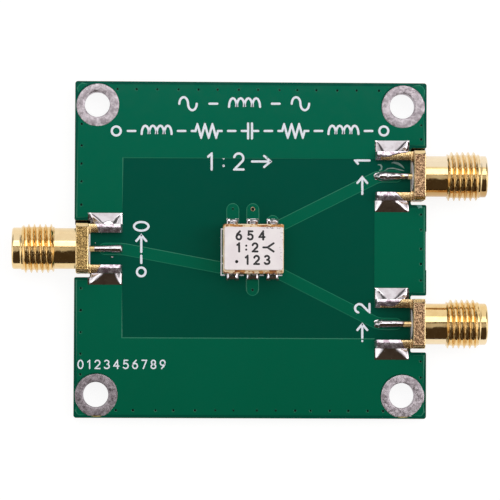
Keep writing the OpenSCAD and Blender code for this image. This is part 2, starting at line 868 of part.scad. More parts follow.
pin_solder(OUTPUT_1);  // output_1_pin_solder
top_solder(OUTPUT_2);  // output_2_top_solder
bottom_solder(OUTPUT_2);  // output_2_bottom_solder
pin_solder(OUTPUT_2);  // output_2_pin_solder
module_base();
module_lid();
lid_adhesive();
module_lead(0);  // module_lead_1
module_lead(1);  // module_lead_2
module_lead(2);  // module_lead_3
module_lead(3);  // module_lead_4
module_lead(4);  // module_lead_5
module_lead(5);  // module_lead_6
module_lead_solder();
ferrite_core(-1);  // ferrite_core_1
ferrite_core(1);  // ferrite_core_2
winding(-1);  // winding_1
winding(1);  // winding_2
balance_resistor();
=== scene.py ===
import math

import bmesh
import bpy
import numpy as np
from mathutils import Matrix, Vector


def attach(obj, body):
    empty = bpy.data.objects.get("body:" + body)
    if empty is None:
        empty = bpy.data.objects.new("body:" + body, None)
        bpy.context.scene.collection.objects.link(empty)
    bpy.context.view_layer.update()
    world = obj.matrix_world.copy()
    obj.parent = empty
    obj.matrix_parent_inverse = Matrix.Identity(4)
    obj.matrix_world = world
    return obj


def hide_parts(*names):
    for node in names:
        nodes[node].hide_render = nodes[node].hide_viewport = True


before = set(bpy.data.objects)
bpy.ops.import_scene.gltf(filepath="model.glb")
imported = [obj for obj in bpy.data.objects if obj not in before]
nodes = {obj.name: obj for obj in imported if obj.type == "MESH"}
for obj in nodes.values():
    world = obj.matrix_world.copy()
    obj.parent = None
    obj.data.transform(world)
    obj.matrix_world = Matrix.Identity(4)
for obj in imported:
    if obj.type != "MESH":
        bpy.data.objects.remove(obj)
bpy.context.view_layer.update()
scene = bpy.context.scene

# All lengths below are in millimetres; MM turns them into metres
MM = 0.001
BOARD_TOP, BOARD_UNDER = 2.69, 1.09
COPPER_TOP, COPPER_UNDER = 2.74, 1.04
LAND_TOP, LAND_UNDER = 2.75, 1.03
AXIS_Z = 3.13
FLANGE_X = 20.57
EDGE_X = 1.78
COPPER_EDGE_X, COPPER_EDGE_Y = 21.95, 20.95
MODULE_X, MODULE_Y = 0.25, 0.06
LEAD_PITCH, LEAD_Y = 2.54, 2.85
# Across each port, from its middle: legs, ground lands, opening in the copper, half a trace
LEG_IN, LEG_OUT, LEG_HIGH = 2.05, 3.13, 0.9
LAND_IN, LAND_OUT, LAND_L = 2.035, 4.545, 4.35
PORT_HALF, TRACE_HALF = 2.095, 0.75
# Each port: side of the board, place across it, distance of its ground lands from the edge
PORTS = {"input": (-1, 0.05, 1.73), "output_1": (1, 9.45, 2.22), "output_2": (1, -9.3, 2.22)}
# Place along the world's X of one thread crest on the +Y side of each jack
CRESTS = {"input": -27.375, "output_1": 26.134, "output_2": 26.066}
# Each jack as photographed: rear face of its flange, flange thickness, front end of its shell
SHELLS = {"input": (20.5, 1.6, 9.66), "output_1": (20.5, 1.45, 9.4), "output_2": (20.42, 1.52, 9.5)}
HOLES = [(-19.55, -18.4), (19.25, -18.4), (-19.55, 18.4), (19.25, 18.4)]
# Opening of the ground copper round the module: left, right, low, high
WINDOW = (-16.3, 15.72, -11.24, 11.67)
TRACES = [
    (np.array([-18.47, 0.05]), np.array([-16.25, 0.05])),
    (np.array([-16.25, 0.05]), np.array([-2.29, -2.53])),
    (np.array([18.47, 9.45]), np.array([16.25, 9.45])),
    (np.array([16.25, 9.45]), np.array([2.79, 2.65])),
    (np.array([18.47, -9.3]), np.array([16.25, -9.3])),
    (np.array([16.25, -9.3]), np.array([2.79, -2.53])),
]

# Camera, from the board's four corners in the photograph
PHOTO_PX, FOCAL_PX = 500, 2992.126
EYE = np.array([-12.424, -12.464, 381.927])
TURN = Vector((0.032751, -0.032589, 0.004611))
EYE_AXES = np.array(Matrix.Rotation(TURN.length, 3, TURN.normalized()))
camera_data = bpy.data.cameras.new("camera")
camera_data.sensor_width = 36
camera_data.lens = camera_data.sensor_width * FOCAL_PX / PHOTO_PX
camera_data.clip_start, camera_data.clip_end = 0.01, 10
camera = bpy.data.objects.new("camera", camera_data)
scene.collection.objects.link(camera)
camera.matrix_world = Matrix.Translation(EYE * MM) @ Matrix(EYE_AXES.tolist()).to_4x4()
scene.camera = camera
scene.view_settings.view_transform = "Standard"


def spot(px, py, z=BOARD_TOP):
    """The point in millimetres at height z that the photograph shows at a pixel."""
    ray = EYE_AXES @ np.array([(px - PHOTO_PX / 2) / FOCAL_PX, (PHOTO_PX / 2 - py) / FOCAL_PX, -1.0])
    return (EYE + (z - EYE[2]) / ray[2] * ray)[:2]


def smooth_min(a, b, k):
    """Lower of two heights with a rounding of about k between them."""
    h = np.clip(0.5 + 0.5 * (b - a) / k, 0, 1)
    return b * (1 - h) + a * h - k * h * (1 - h)


def lattice(i, seed):
    """Fixed value from -1 to 1 for each point of a whole-number lattice."""
    n = (i[..., 0] * 73856093) ^ (i[..., 1] * 19349663) ^ (i[..., 2] * 83492791) ^ (seed * 7919)
    n = n & 0x7FFFFFFF
    n = ((n ^ (n >> 13)) * 1274126177) & 0x7FFFFFFF
    n = ((n ^ (n >> 15)) * 461845907) & 0x7FFFFFFF
    return (n >> 7) / 0xFFFFFF * 2 - 1


def noise(p, size, seed=1):
    """Smooth value noise from -1 to 1 at points p, with the given size of its lumps."""
    q = np.asarray(p, float) / size
    base = np.floor(q).astype(np.int64)
    f = q - base
    f = f * f * (3 - 2 * f)
    total = 0
    for dx in (0, 1):
        for dy in (0, 1):
            for dz in (0, 1):
                weight = np.ones(q.shape[:-1])
                for axis, d in enumerate((dx, dy, dz)):
                    weight = weight * (f[..., axis] if d else 1 - f[..., axis])
                total = total + weight * lattice(base + np.array([dx, dy, dz]), seed)
    return total


def around(n):
    """n angles round a full turn."""
    return np.linspace(0, 2 * math.pi, n + 1)[:-1]


def level_ring(cx, cy, r, z, turn):
    """Points of a level circle."""
    return np.stack([cx + r * np.cos(turn), cy + r * np.sin(turn), np.full(len(turn), z)], -1)


def upright(x, y, z):
    """Points at one place along X."""
    return np.stack([np.full(len(y), x), y, z], -1)


def axis_ring(s, r, turn):
    """Points of a circle round a jack's axis, at the distance s along it."""
    return upright(s, r * np.cos(turn), AXIS_Z + r * np.sin(turn))


def to_world(port, points, rear=FLANGE_X):
    """From the port frame (origin under the flange's rear face, +X away from the board)."""
    sign, y, _ = PORTS[port]
    p = np.array(points, float)
    p[..., 0] = sign * (rear + p[..., 0])
    p[..., 1] = y + p[..., 1]
    return p


def copper_height(x, y):
    """Height of the masked face at a point: copper stands 0.05 above the bare laminate."""
    left, right, low, high = WINDOW
    if not (left < x < right and low < y < high):
        if not any(sign * x > 0 and abs(y - py) < PORT_HALF for sign, py, _ in PORTS.values()):
            return COPPER_TOP
    for a, b in TRACES:
        d = b - a
        t = np.clip(np.dot(np.array([x, y]) - a, d) / np.dot(d, d), 0, 1)
        if np.hypot(*(np.array([x, y]) - a - t * d)) < TRACE_HALF:
            return COPPER_TOP
    return BOARD_TOP


# Materials ---------------------------------------------------------------------------------


def linear(r, g, b):
    """Linear colour of an 8-bit display colour."""
    return tuple(
        c / 12.92 if c <= 0.04045 else ((c + 0.055) / 1.055) ** 2.4
        for c in (r / 255, g / 255, b / 255)
    )


class Nodes:
    """Short calls that add nodes to one tree."""

    def __init__(self, tree):
        self.tree = tree

    def node(self, kind, inputs=(), **settings):
        n = self.tree.nodes.new(kind)
        for key, value in settings.items():
            setattr(n, key, value)
        for key, value in dict(inputs).items():
            if isinstance(value, bpy.types.NodeSocket):
                self.tree.links.new(value, n.inputs[key])
            else:
                n.inputs[key].default_value = value
        return n

    def math(self, operation, a, b=0.0, c=0.0):
        return self.node("ShaderNodeMath", {0: a, 1: b, 2: c}, operation=operation).outputs[0]

    def seen(self):
        """1 for camera, glossy and transmission rays, 0 for the rays that light the object."""
        rays = self.node("ShaderNodeLightPath").outputs
        first = self.math("MAXIMUM", rays["Is Camera Ray"], rays["Is Glossy Ray"])
        return self.math("MAXIMUM", first, rays["Is Transmission Ray"])


class Shade(Nodes):
    """A material with one Principled shader; colours are 8-bit display colours and p is the place in
    object coordinates."""

    def __init__(self, name, color, rough, metal=0.0, ior=1.5):
        self.mat = bpy.data.materials.new(name)
        self.mat.use_nodes = True
        super().__init__(self.mat.node_tree)
        self.bsdf = self.tree.nodes["Principled BSDF"]
        self.set("Base Color", (*linear(*color), 1))
        self.set("Roughness", rough)
        self.set("Metallic", metal)
        self.set("IOR", ior)
        coords = self.node("ShaderNodeTexCoord").outputs["Object"]
        self.p = self.node("ShaderNodeVectorMath", {0: coords, "Scale": 1 / MM}, operation="SCALE").outputs[0]
        self.x, self.y, self.z = self.xyz(self.p)

    def set(self, socket, value):
        self.bsdf.inputs[socket].default_value = value

    def plug(self, socket, output):
        self.tree.links.new(output, self.bsdf.inputs[socket])

    def base(self):
        """What the base colour is plugged to so far."""
        return self.bsdf.inputs["Base Color"].links[0].from_socket

    def xyz(self, vector):
        return self.node("ShaderNodeSeparateXYZ", {0: vector}).outputs

    def stretch(self, x, y, z):
        return self.node("ShaderNodeVectorMath", {0: self.p, 1: (x, y, z)}, operation="MULTIPLY").outputs[0]

    def noise(self, vector, scale, detail=3, rough=0.5, distortion=0.0):
        return self.node("ShaderNodeTexNoise", {
            "Vector": vector, "Scale": scale, "Detail": detail, "Roughness": rough, "Distortion": distortion,
        }).outputs["Fac"]

    def span(self, value, a, b, lo=0.0, hi=1.0):
        return self.node("ShaderNodeMapRange", {
            "Value": value, "From Min": a, "From Max": b, "To Min": lo, "To Max": hi,
        }, interpolation_type="SMOOTHSTEP").outputs["Result"]

    def patches(self, scale, a, b, lo=0.0, hi=1.0, detail=3, rough=0.5):
        """Noise of a scale, spread from a..b to lo..hi."""
        return self.span(self.noise(self.p, scale, detail, rough), a, b, lo, hi)

    def mix(self, fac, a, b):
        n = self.node("ShaderNodeMix", data_type="RGBA")
        for socket, value in ((n.inputs["Factor"], fac), (n.inputs[6], a), (n.inputs[7], b)):
            if isinstance(value, bpy.types.NodeSocket):
                self.tree.links.new(value, socket)
            else:
                socket.default_value = (*linear(*value), 1)
        return n.outputs[2]

    def tint(self, fac, a, b):
        self.plug("Base Color", self.mix(fac, a, b))

    def polish(self, scale, a, b, lo, hi, detail=3):
        """Patches of different roughness."""
        self.plug("Roughness", self.patches(scale, a, b, lo, hi, detail))

    def bump(self, height, distance, strength):
        inputs = {"Height": height, "Distance": distance * MM, "Strength": strength}
        self.plug("Normal", self.node("ShaderNodeBump", inputs).outputs["Normal"])

    def relief(self, vector, scale, distance, strength, detail=3, rough=0.5, distortion=0.0):
        """Bumps from noise of a scale."""
        self.bump(self.noise(vector, scale, detail, rough, distortion), distance, strength)


def drifting(name, color, rough, scale, low, high, detail=3, metal=0.0):
    """Plain material whose colour drifts between two tones."""
    s = Shade(name, color, rough, metal)
    s.tint(s.noise(s.p, scale, detail), low, high)
    return s


def mask_material(name, main, drift_and_shade_tone):
    """Green solder mask: a thin glossy coat with faint random colour drift, painted shade that darkens it
    towards -Y, and a fine weave.
    """
    s = Shade(name, main, 0.08, ior=1.34)
    # Painted shade: the colour goes from main at +Y to the darker tone at -Y, standing in for light falling
    # off down the board
    height = s.math("MULTIPLY_ADD", s.y, -1 / 44, 0.5)
    drift = s.math("MULTIPLY_ADD", s.noise(s.p, 0.05, 3, 0.6), 0.3, s.math("SUBTRACT", height, 0.15))
    s.tint(drift, main, drift_and_shade_tone)
    s.relief(s.stretch(1.0, 0.35, 1.0), 1.2, 0.002, 0.5, 2)
    s.polish(0.9, 0.35, 0.7, 0.07, 0.1)
    return s


mask_copper = mask_material("mask_over_copper", (4, 99, 75), (0, 86, 61))
# Where the mask flows down a copper edge it is thin and looks paler; the paler colour there is also a painted
# highlight along the copper's edges
edge_mask_and_painted_sheen = mask_material("mask_on_copper_edge", (38, 122, 94), (26, 108, 82))

# Board: mask on both faces, bare laminate on its edges and in the mask openings round the rings
board = mask_material("mask_over_laminate", (1, 78, 63), (0, 71, 53))
facing = board.xyz(board.node("ShaderNodeNewGeometry").outputs["Normal"])[2]
bare = board.math("LESS_THAN", board.math("ABSOLUTE", facing), 0.6)
flat = board.node("ShaderNodeCombineXYZ", {0: board.x, 1: board.y}).outputs[0]
for hx, hy in HOLES:
    gap = board.node("ShaderNodeVectorMath", {0: flat, 1: (hx + 0.12, hy - 0.12, 0)}, operation="DISTANCE")
    bare = board.math("MAXIMUM", bare, board.math("LESS_THAN", gap.outputs["Value"], 2.66))
fibre = board.noise(board.stretch(1.0, 1.0, 6.0), 3.0, 4, 0.7)
board.tint(bare, board.base(), board.mix(board.span(fibre, 0.3, 0.7), (150, 126, 74), (198, 180, 122)))


def tin_material(name, rough, low, high, grain):
    """Tinned metal: mottled grain with small pits and polished spots."""
    s = Shade(name, high, rough, metal=1.0)
    s.tint(s.span(s.noise(s.p, grain, 5, 0.65, 0.6), 0.35, 0.65), low, high)
    s.polish(grain * 2, 0.3, 0.7, rough * 0.7, rough * 1.4, 4)
    s.relief(s.p, grain * 1.3, 0.03, 0.5, 4, 0.6, 0.4)
    return s


tin = tin_material("tinned_copper", 0.48, (150, 140, 146), (204, 195, 201), 1.7)
# Painted shade: the tin is darker towards the board's lower left corner (-X and -Y)
corner = tin.span(tin.math("MULTIPLY_ADD", tin.y, 1.2, tin.x), -42.0, -2.0, 0.5, 0.0)
tin.tint(corner, tin.base(), (96, 88, 92))
lead_tin = tin_material("tinned_lead", 0.3, (150, 146, 150), (214, 208, 210), 3.0)

solder = Shade("solder", (226, 220, 224), 0.1, metal=1.0)
solder.polish(2.4, 0.35, 0.75, 0.05, 0.2, 4)
solder.relief(solder.p, 3.0, 0.02, 0.35, 3, 0.6)
solder.tint(solder.patches(0.9, 0.4, 0.7), (228, 222, 226), (206, 196, 200))

satin = Shade("satin_solder", (200, 192, 198), 0.14, metal=0.86)
satin.tint(satin.patches(2.0, 0.35, 0.65), (150, 132, 142), (222, 216, 224))
satin.polish(2.4, 0.35, 0.7, 0.11, 0.2)
satin.relief(satin.stretch(0.5, 1.0, 1.0), 1.4, 0.002, 0.3, 2)

GOLD, PAINTED_SHEEN, PAINTED_SHADE = (239, 208, 150), (243, 228, 202), (176, 136, 84)
# Painted light on the plating: paler bands of painted sheen and browner bands of painted shade across Y,
# where the turned gold's reflections fall: middle, half width, amount, tint
BARREL_PAINTED_LIGHT = [(11.5, 1.1, 0.75, PAINTED_SHEEN), (1.85, 1.2, 0.3, PAINTED_SHEEN), (-11.6, 0.6, 0.5, PAINTED_SHEEN),
                (-2.4, 0.6, 0.12, PAINTED_SHEEN), (7.1, 0.75, 0.75, PAINTED_SHADE)]
THREAD_PAINTED_LIGHT = [(11.5, 1.1, 0.4, PAINTED_SHEEN), (7.1, 0.9, 0.4, PAINTED_SHADE)]


def gold_material(name, rough, scale, tone, painted_bands, painted_dullness):
    """Turned gold with bands of painted sheen and painted shade across Y, and less metallic along the top of
    each jack, where the dull strip is a painted brown reflection between its bright line and its dark flank."""
    s = Shade(name, GOLD, rough, metal=1.0)
    color = s.mix(s.patches(scale, 0.35, 0.7), GOLD, tone)
    for centre, half, amount, tint in painted_bands:
        off = s.math("ABSOLUTE", s.math("SUBTRACT", s.y, centre))
        color = s.mix(s.span(off, half - 0.25, half, amount, 0.0), color, tint)
    s.plug("Base Color", color)
    # Painted reflection: the metal turns to dull diffuse gold in a strip along the top of each jack
    y = s.math("ADD", s.y, s.patches(2.2, 0.3, 0.7, -0.09, 0.09, 3, 0.6))
    metal = 1.0
    for _, port_y, _ in PORTS.values():
        off = s.math("ABSOLUTE", s.math("SUBTRACT", y, port_y - 0.15))
        metal = s.math("MINIMUM", s.span(off, 0.14, 0.42, 1 - painted_dullness, 1.0), metal)
    s.plug("Metallic", metal)
    return s


gold = gold_material("turned_gold", 0.1, 1.3, (232, 198, 138), BARREL_PAINTED_LIGHT, 0.6)
gold.relief(gold.stretch(16.0, 1.2, 1.2), 1.0, 0.004, 0.4, 3, 0.6)
gold.polish(2.0, 0.3, 0.7, 0.07, 0.15)
# Thread flanks: the same gold without the turning marks
gold_thread = gold_material("thread_gold", 0.12, 1.0, (228, 192, 128), THREAD_PAINTED_LIGHT, 0.35)
gold_thread.polish(2.0, 0.3, 0.7, 0.08, 0.14)
gold_edge = drifting("milled_gold", (240, 212, 158), 0.22, 3.0, (224, 192, 134), (244, 220, 172), metal=1.0)
gold_edge.relief(gold_edge.p, 5.0, 0.02, 0.5)

gold_blasted = Shade("blasted_gold", GOLD, 0.24, metal=1.0)
grit = gold_blasted.noise(gold_blasted.stretch(1.0, 0.7, 1.0), 5.2, 2, 0.6)
gold_blasted.bump(grit, 0.12, 1.0)
gold_blasted.plug("Roughness", gold_blasted.span(grit, 0.3, 0.7, 0.34, 0.2))
speckle = gold_blasted.patches(6.0, 0.36, 0.64)
gold_blasted.tint(gold_blasted.span(gold_blasted.x, -5.0, 5.0),
                  gold_blasted.mix(speckle, (128, 102, 60), (200, 166, 106)),
                  gold_blasted.mix(speckle, (114, 84, 60), (206, 168, 130)))

gold_leg = Shade("leg_gold", GOLD, 0.24, metal=1.0)
grit = gold_leg.noise(gold_leg.stretch(1.6, 0.7, 1.0), 5.5, 3, 0.6)
gold_leg.bump(grit, 0.025, 0.9)
gold_leg.plug("Roughness", gold_leg.span(grit, 0.3, 0.7, 0.3, 0.18))
gold_leg.tint(gold_leg.span(grit, 0.4, 0.6), (186, 150, 98), (242, 216, 166))

insulator = drifting("white_insulator", (232, 228, 228), 0.4, 1.5, (238, 235, 236), (247, 245, 245))
via_copper = tin_material("via_copper", 0.35, (128, 104, 78), (186, 166, 138), 4.0)
# Painted shade: near-black mask for the via holes, and for the disc in the open barrel
painted_via_shade = drifting("via_pit_painted_shade", (2, 20, 15), 0.5, 4.0, (1, 12, 10), (3, 30, 22), 2)
painted_via_shade.set("Specular IOR Level", 0.1)
silk = Shade("silk_white", (226, 229, 238), 0.55)
silk.tint(silk.patches(5.0, 0.3, 0.7, detail=4, rough=0.7), (214, 219, 230), (232, 234, 241))
silk.relief(silk.p, 9.0, 0.01, 0.5)
ink = drifting("black_ink", (16, 14, 16), 0.5, 8.0, (10, 9, 11), (30, 27, 29))

# Lid: white with dark scuffs along its right and upper edges
lid = Shade("white_lid", (234, 225, 225), 0.42)
white = lid.mix(lid.patches(0.6, 0.3, 0.7, detail=4, rough=0.6), (236, 228, 228), (229, 219, 221))
right_scuff = lid.math("MULTIPLY", lid.patches(3.2, 0.6, 0.66, rough=0.7), lid.span(lid.x, 3.35, 3.7))
top_scuff = lid.math("MULTIPLY", lid.patches(3.6, 0.52, 0.58, rough=0.7), lid.span(lid.y, 2.45, 2.62))
top_scuff = lid.math("MULTIPLY", top_scuff, lid.span(lid.x, 1.0, 2.4))
lid.tint(lid.math("MAXIMUM", right_scuff, top_scuff), white, (92, 78, 76))
lid.relief(lid.p, 1.5, 0.02, 0.4, 4, 0.6)

# Module base: cream ceramic with amber flux burnt on along both lead sides
cream = Shade("cream_base", (238, 212, 166), 0.5)
side = cream.math("ABSOLUTE", cream.math("SUBTRACT", cream.y, MODULE_Y))
burnt = cream.span(cream.noise(cream.stretch(1.0, 0.35, 0.2), 0.75, 3, 0.6), 0.46, 0.52)
stain = cream.mix(cream.patches(1.6, 0.4, 0.6, rough=0.6), (206, 140, 62), (112, 56, 18))
clean = cream.mix(cream.patches(0.8, 0.3, 0.7), (248, 234, 204), (226, 192, 138))
cream.tint(cream.math("MULTIPLY", burnt, cream.span(side, 2.5, 2.85)), clean, stain)
cream.relief(cream.p, 2.5, 0.03, 0.5, 4)

glue = Shade("amber_glue", (186, 118, 44), 0.3)
amber = glue.mix(glue.patches(1.2, 0.35, 0.65, detail=4, rough=0.7), (206, 146, 70), (140, 76, 26))
glue.tint(glue.patches(0.55, 0.47, 0.53, rough=0.6), amber, (236, 212, 172))

turquoise = drifting("turquoise_smear", (112, 190, 178), 0.4, 4.0, (70, 160, 146), (150, 214, 204))
turquoise.set("Alpha", 0.6)
flux = Shade("flux_residue", (156, 186, 178), 0.12)
flux.set("Alpha", 0.6)
flux.relief(flux.p, 5.0, 0.03, 0.6)

ferrite = drifting("ferrite", (62, 60, 62), 0.5, 6.0, (46, 44, 46), (78, 75, 76), 4)
enamel = drifting("enamelled_wire", (176, 92, 48), 0.25, 5.0, (160, 78, 38), (198, 112, 62), metal=1.0)
chip = drifting("resistor_body", (40, 40, 46), 0.4, 6.0, (30, 30, 36), (54, 54, 60))


# Pieces ------------------------------------------------------------------------------------


def piece(name, mesh, shade, replaces=(), smooth=38):
    """A visual piece on the one body and the CAD nodes that it replaces."""
    mesh.materials.append(shade.mat)
    mesh.shade_smooth()
    mesh.set_sharp_from_angle(angle=math.radians(smooth))
    for face in mesh.polygons:
        # Large plane faces keep their own normals beside eased edges
        if face.area > 0.3 * MM * MM:
            face.use_smooth = False
    ob = bpy.data.objects.new(name, mesh)
    scene.collection.objects.link(ob)
    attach(ob, "root")
    if replaces:
        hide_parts(*replaces)
    return ob


def second_shade(mesh, shade, pick):
    """Give the faces that pick chooses a second material."""
    mesh.materials.append(shade.mat)
    for face in mesh.polygons:
        face.material_index = int(pick(face))


def mesh_from(bm, name):
    """The mesh in metres of a form in millimetres, which it frees."""
    bm.transform(Matrix.Scale(MM, 4))
    mesh = bpy.data.meshes.new(name)
    bm.to_mesh(mesh)
    bm.free()
    return mesh


def mesh_of(name, parts, tidy=True):
    """One mesh in metres from (points, faces) parts in millimetres."""
    bm = bmesh.new()
    for points, faces in parts:
        made = [bm.verts.new(q) for q in np.asarray(points, float)]
        for face in faces:
            try:
                bm.faces.new([made[i] for i in face])
            except ValueError:
                # A face that is there already
                pass
    if tidy:
        bmesh.ops.remove_doubles(bm, verts=bm.verts, dist=0.0004)
        bmesh.ops.recalc_face_normals(bm, faces=bm.faces)
    return mesh_from(bm, name)


def made_piece(name, parts, shade, replaces=(), smooth=60, tidy=True):
    return piece(name, mesh_of(name, parts, tidy), shade, replaces, smooth)


def grid(points, wrap_u=False, wrap_v=False, keep=None):
    """Points and faces of a grid given as an array (nu, nv, 3)."""
    nu, nv = points.shape[:2]
    faces = []
    for i in range(nu if wrap_u else nu - 1):
        for j in range(nv if wrap_v else nv - 1):
            if keep is not None and not keep[i, j]:
                continue
            a, b = (i + 1) % nu, (j + 1) % nv
            faces.append((i * nv + j, a * nv + j, a * nv + b, i * nv + b))
    return points.reshape(-1, 3), faces


def skirted(points, faces, low):
    """The grid with its open edges carried down to the height low."""
    count = {}
    for f in faces:
        for i in range(4):
            a, b = f[i], f[(i + 1) % 4]
            count[(min(a, b), max(a, b))] = count.get((min(a, b), max(a, b)), 0) + 1
    rim = [e for e, n in count.items() if n == 1]
    used = sorted({v for e in rim for v in e})
    at = {v: len(points) + i for i, v in enumerate(used)}
    foot = points[used].copy()
    foot[:, 2] = low
    return np.vstack([points, foot]), faces + [(a, b, at[b], at[a]) for a, b in rim]


def node_form(node):
    """A CAD node's own form in millimetres, with its flat faces joined."""
    bm = bmesh.new()
    bm.from_mesh(nodes[node].data)
    bm.transform(Matrix.Scale(1 / MM, 4))
    bmesh.ops.remove_doubles(bm, verts=bm.verts, dist=0.0008)
    bmesh.ops.dissolve_limit(bm, angle_limit=math.radians(0.6), verts=bm.verts, edges=bm.edges)
    return bm


def dressed(node, shade, width, segments=2, pick=None):
    """A piece from a CAD node's own form with its sharp edges eased by width. pick chooses the edges
    by their middle and by whether they are level."""
    bm = node_form(node)
    sharp = [e for e in bm.edges if e.is_manifold and e.calc_face_angle() > math.radians(40)]
    if pick:
        sharp = [e for e in sharp if pick(*((e.verts[0].co + e.verts[1].co) / 2),
                                          abs(e.verts[0].co.z - e.verts[1].co.z) < 0.01)]
    bmesh.ops.bevel(bm, geom=sharp, offset=width, offset_type="OFFSET", segments=segments,
                    profile=0.5, affect="EDGES", clamp_overlap=False)
    bmesh.ops.recalc_face_normals(bm, faces=bm.faces)
    return piece(node + "_piece", mesh_from(bm, node), shade, (node,))


def near_round(x, y):
    """Whether a point lies on a ring, on a tinned land or at a via, where the copper has no mask slope."""
    for hx, hy in HOLES:
        if math.hypot(x - hx, y - hy) < 2.85:
            return True
    for vx, vy in VIAS:
        if math.hypot(x - vx, y - vy) < 0.3:
            return True
    for sign, py, land_in in PORTS.values():
        from_flange, v = sign * x - FLANGE_X, abs(y - py)
        start = EDGE_X - land_in
        if start - LAND_L - 0.06 < from_flange < start + 0.06 and (2.03 < v < 4.61 or v < 0.62):
            return True
    return abs(abs(y - MODULE_Y) - LEAD_Y) < 1.1 and min(
        abs(x - MODULE_X - c * LEAD_PITCH) for c in (-1, 0, 1)) < 0.84


def via_places():
    """Centres of the vias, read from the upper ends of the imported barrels."""
    mesh = nodes["stitching_vias"].data
    top = np.array([v.co for v in mesh.vertices]) / MM
    top = top[top[:, 2] > COPPER_TOP - 0.005][:, :2]
    found = []
    for q in top:
        for group in found:
            if abs(group[0][0] - q[0]) < 0.5 and abs(group[0][1] - q[1]) < 0.5:
                group.append(q)
                break
        else:
            found.append([q])
    return [((max(a[0] for a in g) + min(a[0] for a in g)) / 2,
             (max(a[1] for a in g) + min(a[1] for a in g)) / 2) for g in found]


VIAS = via_places()
# The barrel that the mask leaves open
OPEN_VIA = next(v for v in VIAS if abs(v[0] - MODULE_X) < 0.3 and v[1] > 4)

dressed("circuit_board", board, 0.05,
        pick=lambda x, y, z, level: level and not any(math.hypot(x - a, y - b) < 0.5 for a, b in VIAS)
        and not any(math.hypot(x - a, y - b) < 2.0 for a, b in HOLES))


def masked_piece(node, mesh, is_slope):
    """Copper under mask, paler on its slopes, where the mask is thin and a highlight is painted."""
    piece(node + "_piece", mesh, mask_copper, (node,), 2)
    second_shade(mesh, edge_mask_and_painted_sheen, is_slope)


def masked_copper(node, foot_z):
    """Copper under mask from the CAD node: its walls become slopes that run out to the board."""
    bm = node_form(node)
    bmesh.ops.recalc_face_normals(bm, faces=bm.faces)
    moves = []
    for v in bm.verts:
        walls = [f.normal for f in v.link_faces if abs(f.normal.z) < 0.3]
        if not walls or near_round(v.co.x, v.co.y):
            continue
        mean = Vector((0, 0, 0))
        for n in walls:
            if all((n - m).length > 0.02 for m in walls[:walls.index(n)]):
                mean += Vector((n.x, n.y, 0))
        mean.normalize()
        lean = min(1.5, 1 / max(0.5, mean.dot(walls[0])))
        foot = abs(v.co.z - foot_z) < 0.01
        move = mean * lean * (0.1 if foot else -0.02)
        # At the board's edges, as far as the photograph shows it
        if abs(abs(v.co.x) - COPPER_EDGE_X) < 0.01:
            move.x = math.copysign(0.2 if foot else 0.05, v.co.x)
        if abs(v.co.y - COPPER_EDGE_Y) < 0.01:
            move.y = 0.2 if foot else 0.05
        if abs(v.co.y + COPPER_EDGE_Y) < 0.01:
            move.y = -0.07 if foot else 0.09
        moves.append((v, move))
    for v, move in moves:
        v.co += move
    slopes = {f.index for f in bm.faces if abs(f.normal.z) < 0.3}
    masked_piece(node, mesh_from(bm, node), lambda face: face.index in slopes)


masked_copper("top_ground_copper", BOARD_TOP)


def ribbon(points, half, top):
    """Masked copper strip with round ends and bends along points: flat top, sides that slope out."""
    pts = [np.array(q, float) for q in points]
    line = [pts[0]]
    for before, at, after in zip(pts, pts[1:], pts[2:]):
        a = at + (before - at) / np.hypot(*(before - at)) * 0.7
        b = at + (after - at) / np.hypot(*(after - at)) * 0.7
        line += [(1 - t) ** 2 * a + 2 * t * (1 - t) * at + t * t * b for t in np.linspace(0, 1, 9)]
    line.append(pts[-1])
    foot, low = half + 0.025, BOARD_TOP - 0.003
    crest = half - 0.07
    rows = []
    for i, c in enumerate(line):
        ahead = line[min(i + 1, len(line) - 1)] - line[max(i - 1, 0)]
        d = ahead / np.hypot(*ahead)
        n = np.array([-d[1], d[0]])
        turns = [0.0]
        if i == 0:
            turns = np.radians(np.linspace(-90, 0, 10))
        elif i == len(line) - 1:
            turns = np.radians(np.linspace(0, 90, 10))
        for a in turns:
            row = []
            for r, z in ((foot, low), (crest, top), (-crest, top), (-foot, low)):
                q = c + d * abs(r) * math.sin(a) + n * r * math.cos(a)
                row.append((q[0], q[1], z))
            rows.append(row)
    return grid(np.array(rows))


def masked_strips(node, strips, half=TRACE_HALF):
    """Strips of one copper node, each a little lower than the one before where they cross."""
    parts = [ribbon(points, half, COPPER_TOP - 0.0004 * k) for k, points in enumerate(strips)]
    masked_piece(node, mesh_of(node, parts), lambda face: abs(face.normal.z) < 0.97)


def reach(node, sign):
    """How far a copper node goes along Y, in millimetres."""
    ys = [v.co.y / MM * sign for v in nodes[node].data.vertices]
    return sign * max(ys)


bends = [[*TRACES[k], TRACES[k + 1][1]] for k in (0, 2, 4)]
cap_y = max(v.co.y / MM for v in nodes["output_1_trace"].data.vertices if v.co.x < 3.6 * MM) - TRACE_HALF
masked_strips("input_trace", [bends[0]])
masked_strips("output_1_trace", [bends[1], [bends[1][2], (bends[1][2][0], cap_y)]])
masked_strips("output_2_trace", [bends[2]])
tabs = [(MODULE_X + c * LEAD_PITCH, side) for c, side in ((-1, 1), (0, 1), (0, -1))]
masked_strips("ground_tabs", [[(x, MODULE_Y + side * LEAD_Y), (x, reach("ground_tabs", side) - side * 0.8)]
                              for x, side in tabs], 0.8)
masked_copper("bottom_ground_copper", BOARD_UNDER)
for node in ("input_lands", "output_1_lands", "output_2_lands", "module_lands"):
    ob = dressed(node, tin, 0.02)
    if node[:-6] in PORTS:
        # The signal land as its joint leaves it visible: narrower than the copper below
        middle = PORTS[node[:-6]][1]
        for v in ob.data.vertices:
            off = v.co.y / MM - middle
            if abs(off) < 1:
                v.co.y = (middle + off * 0.78) * MM
